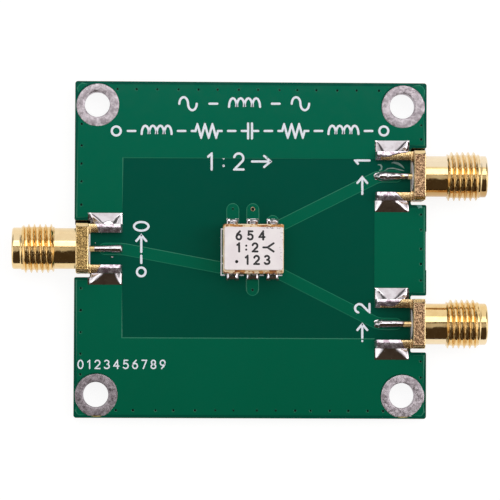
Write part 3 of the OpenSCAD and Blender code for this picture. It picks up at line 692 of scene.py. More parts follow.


# Vias: a dimple in the mask at each with a pit in its middle painted dark as shade, and one barrel left open
def via_pits():
    dimples, pits = [], []
    for vx, vy in VIAS:
        if (vx, vy) == OPEN_VIA:
            continue
        core = 0.125 + 0.03 * float(noise(np.array([vx, vy, 0.0]), 1.3, 3))
        for level, sign in ((COPPER_TOP, 1), (COPPER_UNDER, -1)):
            # Radii with their depths
            dimple = [(0.225, 0), (0.2, 0.004), (0.17, 0.014), (0.145, 0.03), (core, 0.05)]
            pit = [(core, 0.05), (core * 0.8, 0.1), (core * 0.4, 0.14), (0.0, 0.15)]
            if sign > 0 and abs(vx) < 5:
                # On the tabs the mask closes the via: a low rim with a flat middle painted dark as shade
                dimple = [(0.225, 0), (0.19, -0.006), (0.15, -0.007), (core, -0.002)]
                pit = [(core, -0.002), (core * 0.5, -0.0015), (0.0, -0.001)]
            for parts, profile in ((dimples, dimple), (pits, pit)):
                rings = [level_ring(vx, vy, r, level - sign * depth, around(20)) for r, depth in profile]
                parts.append(grid(np.stack(rings), wrap_v=True))
    return dimples, pits


def open_via():
    """Bare barrel with a rolled rim at both ends, and a dark disc of painted shade inside it."""
    outline = [(0.19, 1.04), (0.19, 2.74), (0.2, 2.76), (0.25, 2.765), (0.275, 2.745), (0.22, 2.72),
               (0.22, 1.06), (0.28, 1.035), (0.26, 1.01), (0.17, 1.015)]
    turn = around(32)
    rings = np.stack([level_ring(*OPEN_VIA, r, h, turn) for r, h in outline])
    # Painted shade: a dark disc near the barrel's top stands in for the shade down the hole
    plug = np.stack([level_ring(*OPEN_VIA, r, COPPER_TOP + 0.012 - 0.04 * r, turn) for r in (0.2, 0.1, 0.0)])
    return [grid(rings, wrap_u=True, wrap_v=True)], [grid(plug, wrap_v=True)]


dimples, pits = via_pits()
made_piece("via_dimples", dimples, mask_copper, ("stitching_vias",))
made_piece("via_pits", pits, painted_via_shade, ("stitching_vias",))
barrel_part, shade_disc_part = open_via()
made_piece("open_via", barrel_part, via_copper, (), 50)
made_piece("open_via_shade_disc", shade_disc_part, painted_via_shade, (), 50)


# Mounting holes: tinned barrel and two uneven rings, cut off straight at the copper's limit
def plated_hole(index):
    hx, hy = HOLES[index]
    turn = around(144)
    cx, cy = np.cos(turn), np.sin(turn)
    bore = 1.6
    # The ring is where the mask's round opening, a little off the hole, meets the copper
    ox, oy, wide = 0.11, -0.11, 2.745
    along = ox * cx + oy * cy
    outer = along + np.sqrt(wide ** 2 - (ox ** 2 + oy ** 2) + along ** 2)
    limit_x = np.where(cx > 0, 22.1 - hx, 22.2 + hx) / np.maximum(np.abs(cx), 1e-6)
    limit_y = np.where(cy > 0, 21.2 - hy, 21.075 + hy) / np.maximum(np.abs(cy), 1e-6)
    outer = np.minimum(outer, np.minimum(limit_x, limit_y))

    def ring(share, level, sign, lift):
        q = level_ring(hx, hy, bore + (outer - bore) * share, level, turn)
        lumps = 0.016 * noise(q, 1.4, 5 + index) + 0.006 * noise(q, 0.5, 15 + index)
        q[:, 2] = level + sign * (lift + lumps * (lift > 0))
        return q

    # From the bore outward: share of the ring's width, height of the tin
    profile = [(0.0, -0.02), (0.04, 0.02), (0.1, 0.042), (0.18, 0.055), (0.27, 0.062), (0.36, 0.066),
               (0.45, 0.066), (0.54, 0.064), (0.63, 0.06), (0.72, 0.056), (0.81, 0.05), (0.89, 0.044),
               (0.95, 0.034), (0.985, 0.018), (1.0, 0.0)]
    rings = [ring(share, BOARD_TOP, 1, lift) for share, lift in profile[::-1]]
    rings += [level_ring(hx, hy, bore, level, turn) for level in (2.3, 1.9, 1.5)]
    rings += [ring(share, BOARD_UNDER, -1, lift) for share, lift in profile]
    return [grid(np.stack(rings), wrap_v=True)]


for i in range(4):
    name = f"plated_hole_{i + 1}"
    made_piece(name + "_ring", plated_hole(i), tin, (name,))


# Jacks -------------------------------------------------------------------------------------
THREAD_R, ROOT_R, NECK_R, PILOT_R = 3.12, 2.738, 2.6, 2.635
PITCH = 0.7056
THREAD_X, PILOT_X = 4.27, 8.60
FLANGE_HALF, FLANGE_CUT = 3.13, 0.4


def barrel(port):
    """Turned part of a jack: neck, right-hand thread with run-out and chamfer, pilot, socket. The faces
    of the thread come as a part of their own."""
    sign = PORTS[port][0]
    rear, thick, end = SHELLS[port]
    turn = around(120)
    crest = sign * CRESTS[port] - rear
    stations = [thick - 0.1, thick, thick + 0.06, 2.4, 3.2, 3.9, 4.16, *np.arange(4.2, 8.66, 0.047),
                8.68, 8.72, 8.85, end - 0.4, end - 0.28, end - 0.24]
    rings = []
    for s in stations:
        # The crest moves along the world's X with the turn from +Y over +Z
        u = (s - crest) / PITCH - sign * turn / (2 * math.pi)
        u = np.abs(u - np.round(u))
        height = np.clip(1 - (u - 0.03) / 0.28, 0, 1)
        height = height * height * (3 - 2 * height) * 0.35 + height * 0.65
        r = ROOT_R + (THREAD_R - ROOT_R) * height
        r = np.where(s < THREAD_X + 0.04, NECK_R, r)
        run_out = NECK_R + 0.06 + (s - THREAD_X) * 1.9
        chamfer = PILOT_R - 0.03 + (PILOT_X + 0.02 - s) * 0.85
        r = np.minimum(r, np.maximum(NECK_R, run_out))
        r = np.where(s > 7.6, np.minimum(r, np.maximum(PILOT_R, chamfer)), r)
        rings.append(axis_ring(s, PILOT_R if s > PILOT_X else r, turn))
    mouth = [(-0.19, 2.628), (-0.12, 2.59), (-0.06, 2.54), (-0.02, 2.47), (0.0, 2.395), (-0.002, 2.36),
             (-0.03, 2.315), (-0.08, 2.3), (-0.44, 2.3), (-1.2, 2.3), (-1.8, 2.3), (-1.85, 2.28),
             (-1.85, 2.04)]
    rings += [axis_ring(end + s, r, turn) for s, r in mouth]
    points, faces = grid(np.stack(rings), wrap_v=True)
    thread = [4.3 < points[list(f), 0].mean() < 8.45 for f in faces]
    points = to_world(port, points, rear)
    return [(points, [f for f, on_thread in zip(faces, thread) if on_thread == wanted])
            for wanted in (False, True)]


def sheet_patch(corner, side_u, side_v, nu, nv, depth, seed):
    """Flat patch with a blasted surface: its inner points sink by up to depth."""
    corner, side_u, side_v = (np.array(a, float) for a in (corner, side_u, side_v))
    u, v = np.meshgrid(np.linspace(0, 1, nu), np.linspace(0, 1, nv), indexing="ij")
    q = corner + u[..., None] * side_u + v[..., None] * side_v
    normal = np.cross(side_v, side_u)
    normal = normal / np.linalg.norm(normal)
    fade = np.clip(np.minimum(np.minimum(u, 1 - u) * nu / 2, np.minimum(v, 1 - v) * nv / 2), 0, 1)
    rough = 0.6 * noise(q, 0.22, seed) + 0.4 * noise(q, 0.12, seed + 1)
    return grid(q - normal * (fade * depth * (0.5 + 0.5 * rough))[..., None])


def flange(port):
    """Square flange: blasted faces inside bright eased edges."""
    half, cut, ease = FLANGE_HALF, FLANGE_CUT, 0.09
    rear, thick, _ = SHELLS[port]
    seed = 60 + 7 * list(PORTS).index(port)
    sunk = 0.04 if port == "input" else 0.06
    x0, x1 = ease, thick - ease
    flat = half - cut
    corners = np.array([(flat, half), (-flat, half), (-half, flat), (-half, -flat),
                        (-flat, -half), (flat, -half), (half, -flat), (half, flat)])
    # How far the outline moves in from each corner to the flat front and rear faces
    pull = -0.7 * ease * np.sign(corners)
    parts, edges, rim = [], [], []

    def at(x, q):
        return x, q[0], AXIS_Z + q[1]

    def rounded(a, b, pull_a, pull_b):
        """Eased edge between two points of the outline, to the front and to the rear face."""
        for level, edge in ((x0, 0.0), (x1, thick)):
            mid = (level + edge) / 2 + (edge - level) * 0.2
            edges.append(grid(np.array([[at(level, a), at(level, b)],
                                        [at(mid, a + pull_a * 0.3), at(mid, b + pull_b * 0.3)],
                                        [at(edge, a + pull_a), at(edge, b + pull_b)]])))

    for i in range(8):
        a, b, c = (corners[(i + k) % 8] for k in range(3))
        pull_a, pull_b = pull[i], pull[(i + 1) % 8]
        length = np.hypot(*(b - a))
        long_side = length > 1
        # The side's face ends a little inside its corners; a narrow strip leads round each corner
        near, far = a + (b - a) * 0.05 / length, b - (b - a) * 0.05 / length
        beyond = b + (c - b) * 0.05 / np.hypot(*(c - b))
        n = max(4, round(length / (0.045 if long_side else 0.1)))
        patch = sheet_patch(at(x0, near), (x1 - x0, 0, 0), (0, *(far - near)), 34, n,
                            sunk if long_side else 0.012, seed + i)
        (parts if long_side else edges).append(patch)
        edges.append(grid(np.array([[at(x0, far), at(x1, far)], [at(x0, beyond), at(x1, beyond)]])))
        rounded(near, far, pull_a, pull_b)
        rounded(far, beyond, pull_b, pull_b)
        rim.append(np.linspace(near + pull_a, far + pull_b, 15 if long_side else 4))
    # Front and rear faces, each a ring of quads from the eased outline to the bore
    outline = np.concatenate(rim)
    angle = np.arctan2(outline[:, 1], outline[:, 0])
    for edge, bore in ((0.0, 1.81), (thick, 2.5)):
        inner = np.stack([bore * np.cos(angle), bore * np.sin(angle)], -1)
        rings = []
        for share in np.linspace(0, 1, 14):
            ring = outline * (1 - share) + inner * share
            q = upright(edge, ring[:, 0], AXIS_Z + ring[:, 1])
            dent = 0.012 * (0.5 + 0.5 * noise(q, 0.18, seed + 9)) * min(1, 8 * share * (1 - share))
            q[:, 0] += dent if edge == 0 else -dent
            rings.append(q)
        parts.append(grid(np.stack(rings), wrap_v=True))
    return tuple([(to_world(port, q, rear), f) for q, f in group] for group in (parts, edges))


def bar(x0, x1, y0, y1, z0, z1, ease, seed, lumps):
    """Box with eased edges and slightly uneven faces, as a closed grid of rings along X."""
    section = []
    for cy, cz, start in ((y1 - ease, z1 - ease, 0), (y0 + ease, z1 - ease, 90),
                          (y0 + ease, z0 + ease, 180), (y1 - ease, z0 + ease, 270)):
        for a in np.radians(start + 30 * np.arange(4)):
            section.append((cy + ease * math.cos(a), cz + ease * math.sin(a)))
    section = np.array(section)
    middle = section.mean(0)
    half = np.array([y1 - y0, z1 - z0]) / 2
    # From the middle of one end to the middle of the other: place, share of the full section
    end = [(x0, 0.0), (x0, 0.8), (x0 + ease * 0.4, 0.95), (x0 + ease, 1.0)]
    inner = [(s, 1.0) for s in np.linspace(x0 + ease, x1 - ease, max(3, int((x1 - x0) / 0.12)))[1:-1]]
    rings = []
    for s, share in end + inner + [(x1 - ease, 1.0), (x1 - ease * 0.4, 0.95), (x1, 0.8), (x1, 0.0)]:
        ring = middle + (section - middle) * (1 - (1 - share) * 0.5 * half.min() / half if share else 0)
        q = upright(s, ring[:, 0], ring[:, 1])
        if share == 1.0:
            q[:, 2] += lumps * noise(q, 0.3, seed)
            q[:, 1] += lumps * noise(q, 0.3, seed + 1)
        rings.append(q)
    return grid(np.stack(rings), wrap_v=True)


def legs(port):
    """Two legs above and two below the board, each with a thicker root at the flange."""
    parts = []
    seed = 90 + 5 * list(PORTS).index(port)
    for side in (-1, 1):
        y0, y1 = sorted((side * LEG_IN, side * LEG_OUT))
        root0, root1 = sorted((side * (LEG_IN - 0.12), side * LEG_OUT))
        for low, high, grow_low, grow_high in ((LAND_TOP, LAND_TOP + LEG_HIGH, 0, 0.12),
                                               (LAND_UNDER - LEG_HIGH, LAND_UNDER, 0.12, 0)):
            parts.append(bar(-4.1, 0.1, y0, y1, low, high, 0.06, seed, 0.005))
            parts.append(bar(-0.3, 0.1, root0, root1, low - grow_low, high + grow_high, 0.05,
                             seed + 2, 0.006))
            seed += 3
    return [(to_world(port, q), f) for q, f in parts]


def sleeve(port):
    """Insulator: a disc just proud of the flange's rear face, the bearing, and its face in the socket."""
    rear, _, end = SHELLS[port]
    proud = 0.07 if port == "input" else 0.02
    outline = [(-proud, 0.39), (-proud, 1.77), (-proud + 0.012, 1.795), (-proud + 0.035, 1.805),
               (0.1, 1.81), (0.15, 2.05), (7.55, 2.05), (end - 1.96, 2.03), (end - 1.94, 1.98),
               (end - 1.94, 0.66), (end - 2.0, 0.64), (2.0, 0.39)]
    rings = [axis_ring(s, r, around(96)) for s, r in outline]
    points, faces = grid(np.stack(rings), wrap_u=True, wrap_v=True)
    return to_world(port, points, rear), faces


for port in PORTS:
    name = port + "_jack_"
    plain, thread = barrel(port)
    faces, edges = flange(port)
    for label, parts, shade, smooth in (
            ("barrel", [plain], gold, 50), ("thread", [thread], gold_thread, 50),
            ("flange", faces, gold_blasted, 40), ("edges", edges, gold_edge, 30),
            ("legs", legs(port), gold_leg, 40)):
        made_piece(name + label, parts, shade, (name + "shell",), smooth)
    made_piece(name + "insulator_piece", [sleeve(port)], insulator,
               (name + "insulator",), 30)
    dressed(name + "contact", gold, 0.02)


# Solder ------------------------------------------------------------------------------------
# Per port and side (+1 towards +Y): lowest place across the leg that the solder's film covers, at stations
# from the flange; the film's thickness; length and hollowness of the slopes at the flange end (toe) and
# at the leg's tip (heel); how far and how steeply the flange end stays back towards the leg; the lumps'
# seed; place and half length of a mound
JOINTS = {
    ("input", 1): dict(
        film=[(-1.35, 1.9), (-1.22, 2.3), (-1.02, 2.9), (-0.9, 3.3)], thick=0.08,
        toe=(0.8, 3.2), heel=(0.95, 1.6), back=(0.75, 1.3), seed=11, mound=(-2.55, 0.75)),
    ("input", -1): dict(
        film=[(-1.6, 1.9), (-1.45, 2.2), (-1.1, 2.8), (-0.85, 3.3)], thick=0.07,
        toe=(1.1, 2.2), heel=(0.62, 2.6), back=(0.35, 2.0), seed=12),
    ("output_1", 1): dict(
        film=[(-4.02, 2.34), (-2.93, 2.36), (-2.71, 2.59), (-2.2, 2.71), (-1.47, 2.84), (-0.73, 2.98),
              (-0.44, 3.2)], thick=0.06,
        toe=(0.85, 3.2), heel=(0.72, 2.3), back=(0.4, 3.0), seed=13),
    ("output_1", -1): dict(
        film=[(-2.35, 1.9), (-2.1, 2.15), (-1.6, 2.6), (-1.0, 3.2)], thick=0.06,
        toe=(1.15, 1.6), heel=(0.75, 1.5), back=(0.3, 2.5), seed=14),
    ("output_2", 1): dict(
        film=[(-4.0, 2.3), (-2.6, 2.15), (-2.3, 2.2), (-1.93, 2.5), (-1.5, 2.9), (-1.27, 3.2)], thick=0.06,
        toe=(0.95, 3.0), heel=(0.95, 1.7), back=(0.4, 3.0), seed=15),
    ("output_2", -1): dict(
        film=[(-1.55, 1.9), (-1.4, 2.2), (-1.1, 2.8), (-0.9, 3.3)], thick=0.07,
        toe=(0.95, 1.7), heel=(0.8, 2.0), back=(0.25, 2.5), seed=16),
}


def blend(*heights, power=1.2):
    """Soft minimum whose rounding grows with the height, so hips fan out from their corners."""
    return sum(np.maximum(h, 1e-4) ** -power for h in heights) ** (-1 / power)


def ground_solder(port, side, under):
    """Height field of the solder round one leg: domed film on the leg, hollow slopes to the land's edges."""
    o = JOINTS[(port, side)]
    outer = EDGE_X - PORTS[port][2]
    inner = outer - LAND_L
    vs = np.concatenate([np.linspace(LAND_IN, LEG_OUT - 0.01, 34), np.linspace(LEG_OUT + 0.02, LAND_OUT, 44)])
    x, v = np.meshgrid(np.linspace(inner, outer, 130), vs, indexing="ij")
    seed = o["seed"] + (50 if under else 0)
    q = np.stack([x, v, np.zeros_like(x)], -1)
    # On the leg: film beyond an uneven line, the leg's own top before it
    stations = np.array(o["film"])
    wobble = 0.09 * noise(q, 0.5, seed) + 0.04 * noise(q, 0.22, seed + 7)
    line = np.interp(x, stations[:, 0], stations[:, 1])
    cover = np.clip((v - line + wobble) / 0.13, -1, 1)
    across = np.clip((v - 2.6) / 0.56, -1, 1)
    uneven = 1 + 0.12 * noise(q, 1.1, seed + 1)
    dome = (o["thick"] + 0.02) * (1 - 0.85 * np.abs(across) ** 2.2) * uneven + 0.015
    crown = LEG_HIGH + np.where(cover > 0, dome * np.sin(cover * math.pi / 2), 0.25 * cover)
    tip = 0.02 + 0.9 * np.clip((x - inner) / 0.2, 0, 9) ** 0.8
    # Beside the leg: three hollow slopes that meet in hips
    t = np.clip((v - LEG_OUT) / (LAND_OUT - LEG_OUT), 0, 1)
    slope = 0.02 + 0.94 * (1 - t) ** 1.05
    back, bend = o["back"]
    outer_here = outer - back * np.clip((LAND_OUT - v) / (LAND_OUT - LEG_OUT), 0, 1) ** bend
    toe = 0.02 + 1.05 * np.clip((outer_here - x) / o["toe"][0], 0, 3) ** o["toe"][1]
    heel = 0.02 + 1.05 * np.clip((x - inner) / o["heel"][0], 0, 3) ** o["heel"][1]
    h = np.where(v < LEG_OUT, smooth_min(crown, tip, 0.06), smooth_min(blend(slope, toe, heel), 0.94, 0.03))
    if "mound" in o and not under:
        mound_x, wide = o["mound"]
        round_off = np.clip((1 - ((x - mound_x) / wide) ** 2 - ((v - 3.1) / 0.44) ** 2) / 0.3, 0, 1) ** 0.5
        h = np.where(v > 3.1, np.maximum(h, (0.985 - 0.2 * (v - 3.1)) * round_off), h)
    calm = np.where(v < 3.1, 0.5, 1.0)
    lumps = 0.02 * noise(q, 0.8, seed + 2) + 0.005 * noise(q, 0.3, seed + 3)
    h = h + calm * lumps * np.clip(h * 2.5, 0, 1)
    h = np.maximum(h, 0.012)
    points = np.stack([x, side * v, LAND_TOP + h], -1)
    low = LAND_TOP - 0.005
    if under:
        # Never down to the floor
        points[..., 2] = np.maximum(LAND_UNDER - h, 0.002)
        low = LAND_UNDER + 0.005
    # Left out where the flange and its leg's root stand
    keep = ~((x[:-1, :-1] > -0.3) & (v[:-1, :-1] < 3.66))
    q, faces = skirted(*grid(points, keep=keep), low)
    return to_world(port, q), faces


for port in PORTS:
    for under, label in ((False, "top"), (True, "bottom")):
        name = f"{port}_{label}_solder"
        parts = [ground_solder(port, side, under) for side in (1, -1)]
        ob = made_piece(name + "_joints", parts, solder, (name,))
        second_shade(ob.data, satin, lambda face: abs(face.center.y / MM - PORTS[port][1]) < 3.1)

# Per port: stations along the pin (distance from the flange), half width of the foot, film on the pin
PIN_JOINTS = {
    "input": [
        (4.36, 0.3, -0.3), (4.31, 0.46, -0.04), (4.15, 0.53, 0.09), (3.7, 0.57, 0.14), (3.2, 0.54, 0.12),
        (2.7, 0.47, 0.06), (2.2, 0.43, 0.03), (1.7, 0.4, 0.02), (1.2, 0.38, 0.015), (0.8, 0.36, 0.01),
        (0.62, 0.34, -0.03)],
    "output_1": [
        (4.95, 0.12, -0.36), (4.8, 0.3, -0.3), (4.5, 0.42, -0.12), (4.25, 0.54, 0.02), (3.9, 0.62, 0.12),
        (3.4, 0.63, 0.16), (2.9, 0.58, 0.12), (2.4, 0.5, 0.08), (1.9, 0.45, 0.06), (1.4, 0.4, 0.04),
        (1.0, 0.37, 0.02), (0.6, 0.34, 0.01), (0.5, 0.33, -0.03)],
    "output_2": [
        (4.85, 0.3, -0.3), (4.7, 0.44, -0.2), (4.45, 0.5, -0.1), (4.3, 0.52, 0.0), (4.1, 0.53, 0.07),
        (3.4, 0.52, 0.08), (2.6, 0.49, 0.06), (1.9, 0.45, 0.04), (1.3, 0.41, 0.02), (0.9, 0.38, -0.02)],
}
# Small dents in a pin joint: station, place across, radius
DENTS = {
    "output_1": [(3.25, 0.05, 0.1), (2.42, 0.3, 0.09), (3.75, -0.3, 0.12)],
    "output_2": [(4.0, 0.22, 0.09)],
}


def pin_solder(port):
    """Solder over one pin: a hollow foot on each side that turns into a film over the pin."""
    data = np.array(PIN_JOINTS[port])[::-1]
    stations = np.linspace(data[0, 0], data[-1, 0], 90)
    feet = np.interp(stations, data[:, 0], data[:, 1])
    films = np.interp(stations, data[:, 0], data[:, 2])
    seed = 30 + list(PORTS).index(port)
    start = math.radians(28)
    rings = []
    for s, foot, film in zip(stations, feet, films):
        r = 0.38 + film
        centre = max(0.02, AXIS_Z - LAND_TOP + min(0, film))
        p0 = np.array([foot, 0.008])
        p2 = np.array([r * math.cos(start), centre + r * math.sin(start)])
        p1 = np.array([min(foot, p2[0]) * 0.98 + 0.03, 0.1 * p2[1]])
        section = [(1 - t) ** 2 * p0 + 2 * t * (1 - t) * p1 + t * t * p2 for t in np.linspace(0, 1, 9)]
        arch = np.linspace(start, math.pi / 2, 11)[1:]
        section += [(r * math.cos(a), centre + r * math.sin(a)) for a in arch]
        right = np.array(section)
        whole = np.vstack([right, (right * [-1, 1])[-2::-1]])
        q = upright(-s, whole[:, 0], LAND_TOP + whole[:, 1])
        coarse = 0.055 if port == "output_1" else 0.03
        lump = coarse * noise(q, 0.42, seed) + 0.012 * noise(q, 0.22, seed + 9)
        scale = np.clip((q[:, 2] - LAND_TOP) * 4, 0, 1) * (0.4 if port == "input" else 1.0)
        q[:, 2] += lump * scale
        for at, across, radius in DENTS.get(port, ()):
            q[:, 2] -= 1.1 * radius * np.exp(-((s - at) ** 2 + (q[:, 1] - across) ** 2) / radius ** 2) * scale
        q[:, 1] += 0.02 * noise(q + 5, 0.5, seed + 3) * scale
        rings.append(q)
    points, faces = skirted(*grid(np.stack(rings)), LAND_TOP - 0.005)
    return to_world(port, points), faces


for port in PORTS:
    name = f"{port}_pin_solder"
    made_piece(name + "_joint", [pin_solder(port)], solder, (name,))

# Module joints: column, side, height, seed
LEAD_JOINTS = [(-1, 1, 0.6, 1), (0, 1, 0.62, 2), (1, 1, 0.7, 3),
               (-1, -1, 0.5, 4), (0, -1, 0.55, 5), (1, -1, 0.5, 6)]


def lead_solder(column, side, height, seed):
    """Dome over one lead's foot, with a steep rim."""
    u, v = np.meshgrid(np.linspace(-0.78, 0.78, 48), np.linspace(3.1, 3.9, 34), indexing="ij")
    t = (v - 3.1) / 0.8
    q = np.stack([u + 3 * column, v + 5 * side, np.zeros_like(u)], -1)
    edge = 1 + 0.06 * noise(q, 0.5, 80 + seed)
    if side > 0:
        # A dome off the middle that leans back to the module, over a thin wetted layer
        lean = 0.62 + 0.38 * np.sin(math.pi / 2 * np.clip(t / 0.66, 0, 1))
        drop = np.clip(1 - (np.clip(t / edge - 0.62, 0, 1) / 0.36) ** 2, 0, 1) ** 0.5
        round_off = np.clip(1 - (np.abs(u - 0.2) / (0.54 * edge)) ** 3.0, 0, 1) ** 0.5
        wetted = np.clip(1 - (np.abs(u) / 0.77) ** 8 - (t / 0.97) ** 8, 0, 1) ** 0.5
        h = 0.02 + np.maximum(height * lean * drop * round_off, 0.16 * wetted)
    else:
        out = (np.abs(u) / (0.79 * edge)) ** 5 + (t / edge) ** 5
        h = 0.02 + height * np.sqrt(np.clip(1 - out, 0, 1))
    rough = 0.3 if side > 0 else 1.0
    lumps = 0.03 * noise(q, 0.4, 70 + seed) + 0.008 * noise(q, 0.18, 90 + seed)
    h = np.maximum(h + rough * lumps * np.clip(h * 3, 0, 1), 0.012)
    points = np.stack([MODULE_X + column * LEAD_PITCH + u, MODULE_Y + side * v, LAND_TOP + h], -1)
    return skirted(*grid(points), LAND_TOP - 0.005)


parts = [lead_solder(*joint) for joint in LEAD_JOINTS]
made_piece("module_joints", parts, solder, ("module_lead_solder",))
for i in range(1, 7):
    dressed(f"module_lead_{i}", lead_tin, 0.025)

# Module ------------------------------------------------------------------------------------
dressed("module_base", cream, 0.06, 3)
dressed("lid_adhesive", glue, 0.02)
ob = dressed("module_lid", lid, 0.07, 3)
for v in ob.data.vertices:
    # Room for the ink inside the part's height
    if v.co.z > 6.7 * MM:
        v.co.z -= 0.01 * MM
for i in (1, 2):
    dressed(f"ferrite_core_{i}", ferrite, 0.08, 3)
for i in (1, 2):
    dressed(f"winding_{i}", enamel, 0.03)
dressed("balance_resistor", chip, 0.03)


# Printed marks -----------------------------------------------------------------------------


def arc(cx, cy, rx, ry, a0, a1, n=14):
    return [(cx + rx * math.cos(math.radians(a)), cy + ry * math.sin(math.radians(a)))
            for a in np.linspace(a0, a1, n)]


# Numerals and symbols in a box one high, as lists of strokes
GLYPHS = {
    "0": (0.6, [arc(0.3, 0.5, 0.3, 0.5, 90, 450, 25)]),
    "1": (0.36, [[(0.04, 0.8), (0.26, 1.0), (0.26, 0.0)]]),
    "2": (0.6, [arc(0.3, 0.7, 0.29, 0.3, 165, -38) + [(0.02, 0.0), (0.6, 0.0)]]),
    "3": (0.58, [arc(0.27, 0.76, 0.26, 0.24, 150, -80) + arc(0.27, 0.26, 0.31, 0.26, 82, -150)]),
    "4": (0.62, [[(0.46, 0.0), (0.46, 1.0), (0.0, 0.3), (0.62, 0.3)]]),
    "5": (0.58, [[(0.54, 1.0), (0.1, 1.0), (0.06, 0.56)] + arc(0.27, 0.32, 0.31, 0.32, 130, -145)]),
    "6": (0.58, [arc(0.29, 0.31, 0.29, 0.31, 180, 540, 21), [(0.0, 0.34), (0.1, 0.66), (0.42, 1.0)]]),
    "7": (0.56, [[(0.0, 1.0), (0.56, 1.0), (0.16, 0.0)]]),
    "8": (0.56, [arc(0.28, 0.75, 0.24, 0.25, -90, 270, 17), arc(0.28, 0.25, 0.28, 0.25, 90, 450, 17)]),
    "9": (0.58, [arc(0.29, 0.69, 0.29, 0.31, 0, 360, 21), [(0.58, 0.66), (0.48, 0.34), (0.16, 0.0)]]),
    ":": (0.1, [[(0.05, 0.22), (0.05, 0.24)], [(0.05, 0.7), (0.05, 0.72)]]),
    "sine": (1.2, [arc(0.3, 0.5, 0.28, 0.42, 180, 0, 12) + arc(0.86, 0.5, 0.28, 0.42, 180, 360, 12)[1:]]),
    "arrow": (1.2, [[(0.0, 0.5), (1.16, 0.5)], [(0.76, 0.16), (1.16, 0.5), (0.76, 0.84)]]),
    "fork": (1.3, [[(0.0, 0.5), (0.5, 0.5)], [(1.25, 1.0), (0.5, 0.5), (1.25, 0.0)]]),
    "coil": (2.0, [[(0.0, 0.3)] + sum([arc(0.25 + 0.5 * k, 0.3, 0.25, 0.55, 180, 0, 9)
                                       for k in range(4)], [])]),
    "zigzag": (2.0, [[(0.0, 0.5), (0.25, 0.5),
                      *((0.38 + 0.25 * k, 0.05 if k % 2 else 0.95) for k in range(6)),
                      (1.75, 0.5), (2.0, 0.5)]]),
    "plates": (1.1, [[(0.0, 0.5), (0.42, 0.5)], [(0.42, 0.0), (0.42, 1.0)], [(0.68, 0.0), (0.68, 1.0)],
                     [(0.68, 0.5), (1.1, 0.5)]]),
    "ring": (0.7, [arc(0.35, 0.5, 0.3, 0.3, 0, 360, 21)]),
    "wire": (0.5, [[(0.0, 0.5), (0.5, 0.5)]]),
}


def line_of(marks, x0, y_base, height, width, vertical=False):
    """Strokes in pixels for a row of marks that starts at x0 and is spread to the given width."""
    sizes = [GLYPHS[m][0] * height for m in marks]
    gap = (width - sum(sizes)) / max(1, len(marks) - 1)
    strokes, at = [], 0.0
    for m, size in zip(marks, sizes):
        for stroke in GLYPHS[m][1]:
            if vertical:
                strokes.append([(x0 - gy * height, y_base - (at + gx * height)) for gx, gy in stroke])
            else:
                strokes.append([(x0 + at + gx * height, y_base - gy * height) for gx, gy in stroke])
        at += size + gap
    return strokes


def stroke_parts(points, width, thick, base):
    """Raised stroke with round ends through points in millimetres; base gives the surface's height."""
    pts = [np.array(q, float) for q in points]
    dense = [pts[0]]
    for a, b in zip(pts, pts[1:]):
        n = max(1, int(np.hypot(*(b - a)) / 0.25))
        dense += [a + (b - a) * k / n for k in range(1, n + 1)]
    dense = np.array(dense)
    steps = np.diff(dense, axis=0)
    steps = steps / np.maximum(np.linalg.norm(steps, axis=1), 1e-9)[:, None]
    closed = len(pts) > 3 and np.hypot(*(dense[0] - dense[-1])) < 0.01
    rows = []
    for i, c in enumerate(dense):
        before = steps[i - 1] if i or closed else steps[0]
        after = steps[i] if i < len(steps) else (steps[0] if closed else steps[-1])
        mean = before + after
        length = np.linalg.norm(mean)
        mean = after if length < 0.2 else mean / length
        side = np.array([-mean[1], mean[0]])
        stretch = min(1.5, 1 / max(0.5, float(np.dot(mean, after))))
        row = []
        for share, rise in ((1.0, 0.0), (0.86, 0.75), (0.5, 1.0), (-0.5, 1.0), (-0.86, 0.75), (-1.0, 0.0)):
            q = c + side * stretch * share * width / 2
            row.append((q[0], q[1], base(*q) - 0.002 + (thick + 0.002) * rise))
        rows.append(row)
    parts = [grid(np.array(rows))]
    # Round discs at the ends and at sharp bends
    discs = [] if closed else [pts[0], pts[-1]]
    for before, at, after in zip(pts, pts[1:], pts[2:]):
        a, b = at - before, after - at
        if np.dot(a, b) < 0.8 * np.linalg.norm(a) * np.linalg.norm(b):
            discs.append(at)
    for x, y in discs:
        rings = [level_ring(x, y, share * width / 2, base(x, y) - 0.001 + (thick + 0.0015) * rise, around(16))
                 for share, rise in ((1.0, 0.0), (0.86, 0.75), (0.5, 1.0), (0.0, 1.0))]
        parts.append(grid(np.array(rings), wrap_v=True))
    return parts


def printed(strokes, width, thick, z=None):
    """Strokes in pixels as ink on the board, or on a plane at the height z."""
    surface = copper_height if z is None else lambda x, y: z
    parts = []
    for stroke in strokes:
        points = [spot(px, py, BOARD_TOP if z is None else z) for px, py in stroke]
        parts += stroke_parts(points, width, thick, surface)
    return parts


symbols = ["ring", "wire", "coil", "wire", "zigzag", "wire", "plates"]
board_rows = [
    (["sine", "wire", "coil", "wire", "sine"], 179, 111.5, 15.5, 131),
    (symbols + ["wire", "zigzag", "wire", "coil", "wire", "ring"], 111, 138.5, 15.0, 278),
    (["1", ":", "2"], 207.5, 169.5, 16.0, 36),
    (["arrow"], 252, 169.5, 16.0, 20),
    (["ring", "wire", "arrow", "0"], 148.5, 277, 14.5, 55, True),
    (["arrow", "1"], 369.5, 194, 14.5, 35, True),
    (["arrow", "2"], 369.5, 341, 14.5, 37, True),
]
parts = []
for row in board_rows:
    parts += printed(line_of(*row), 0.29, 0.022)
parts += printed(line_of("0123456789", 78, 368.5, 8.2, 87), 0.17, 0.02)
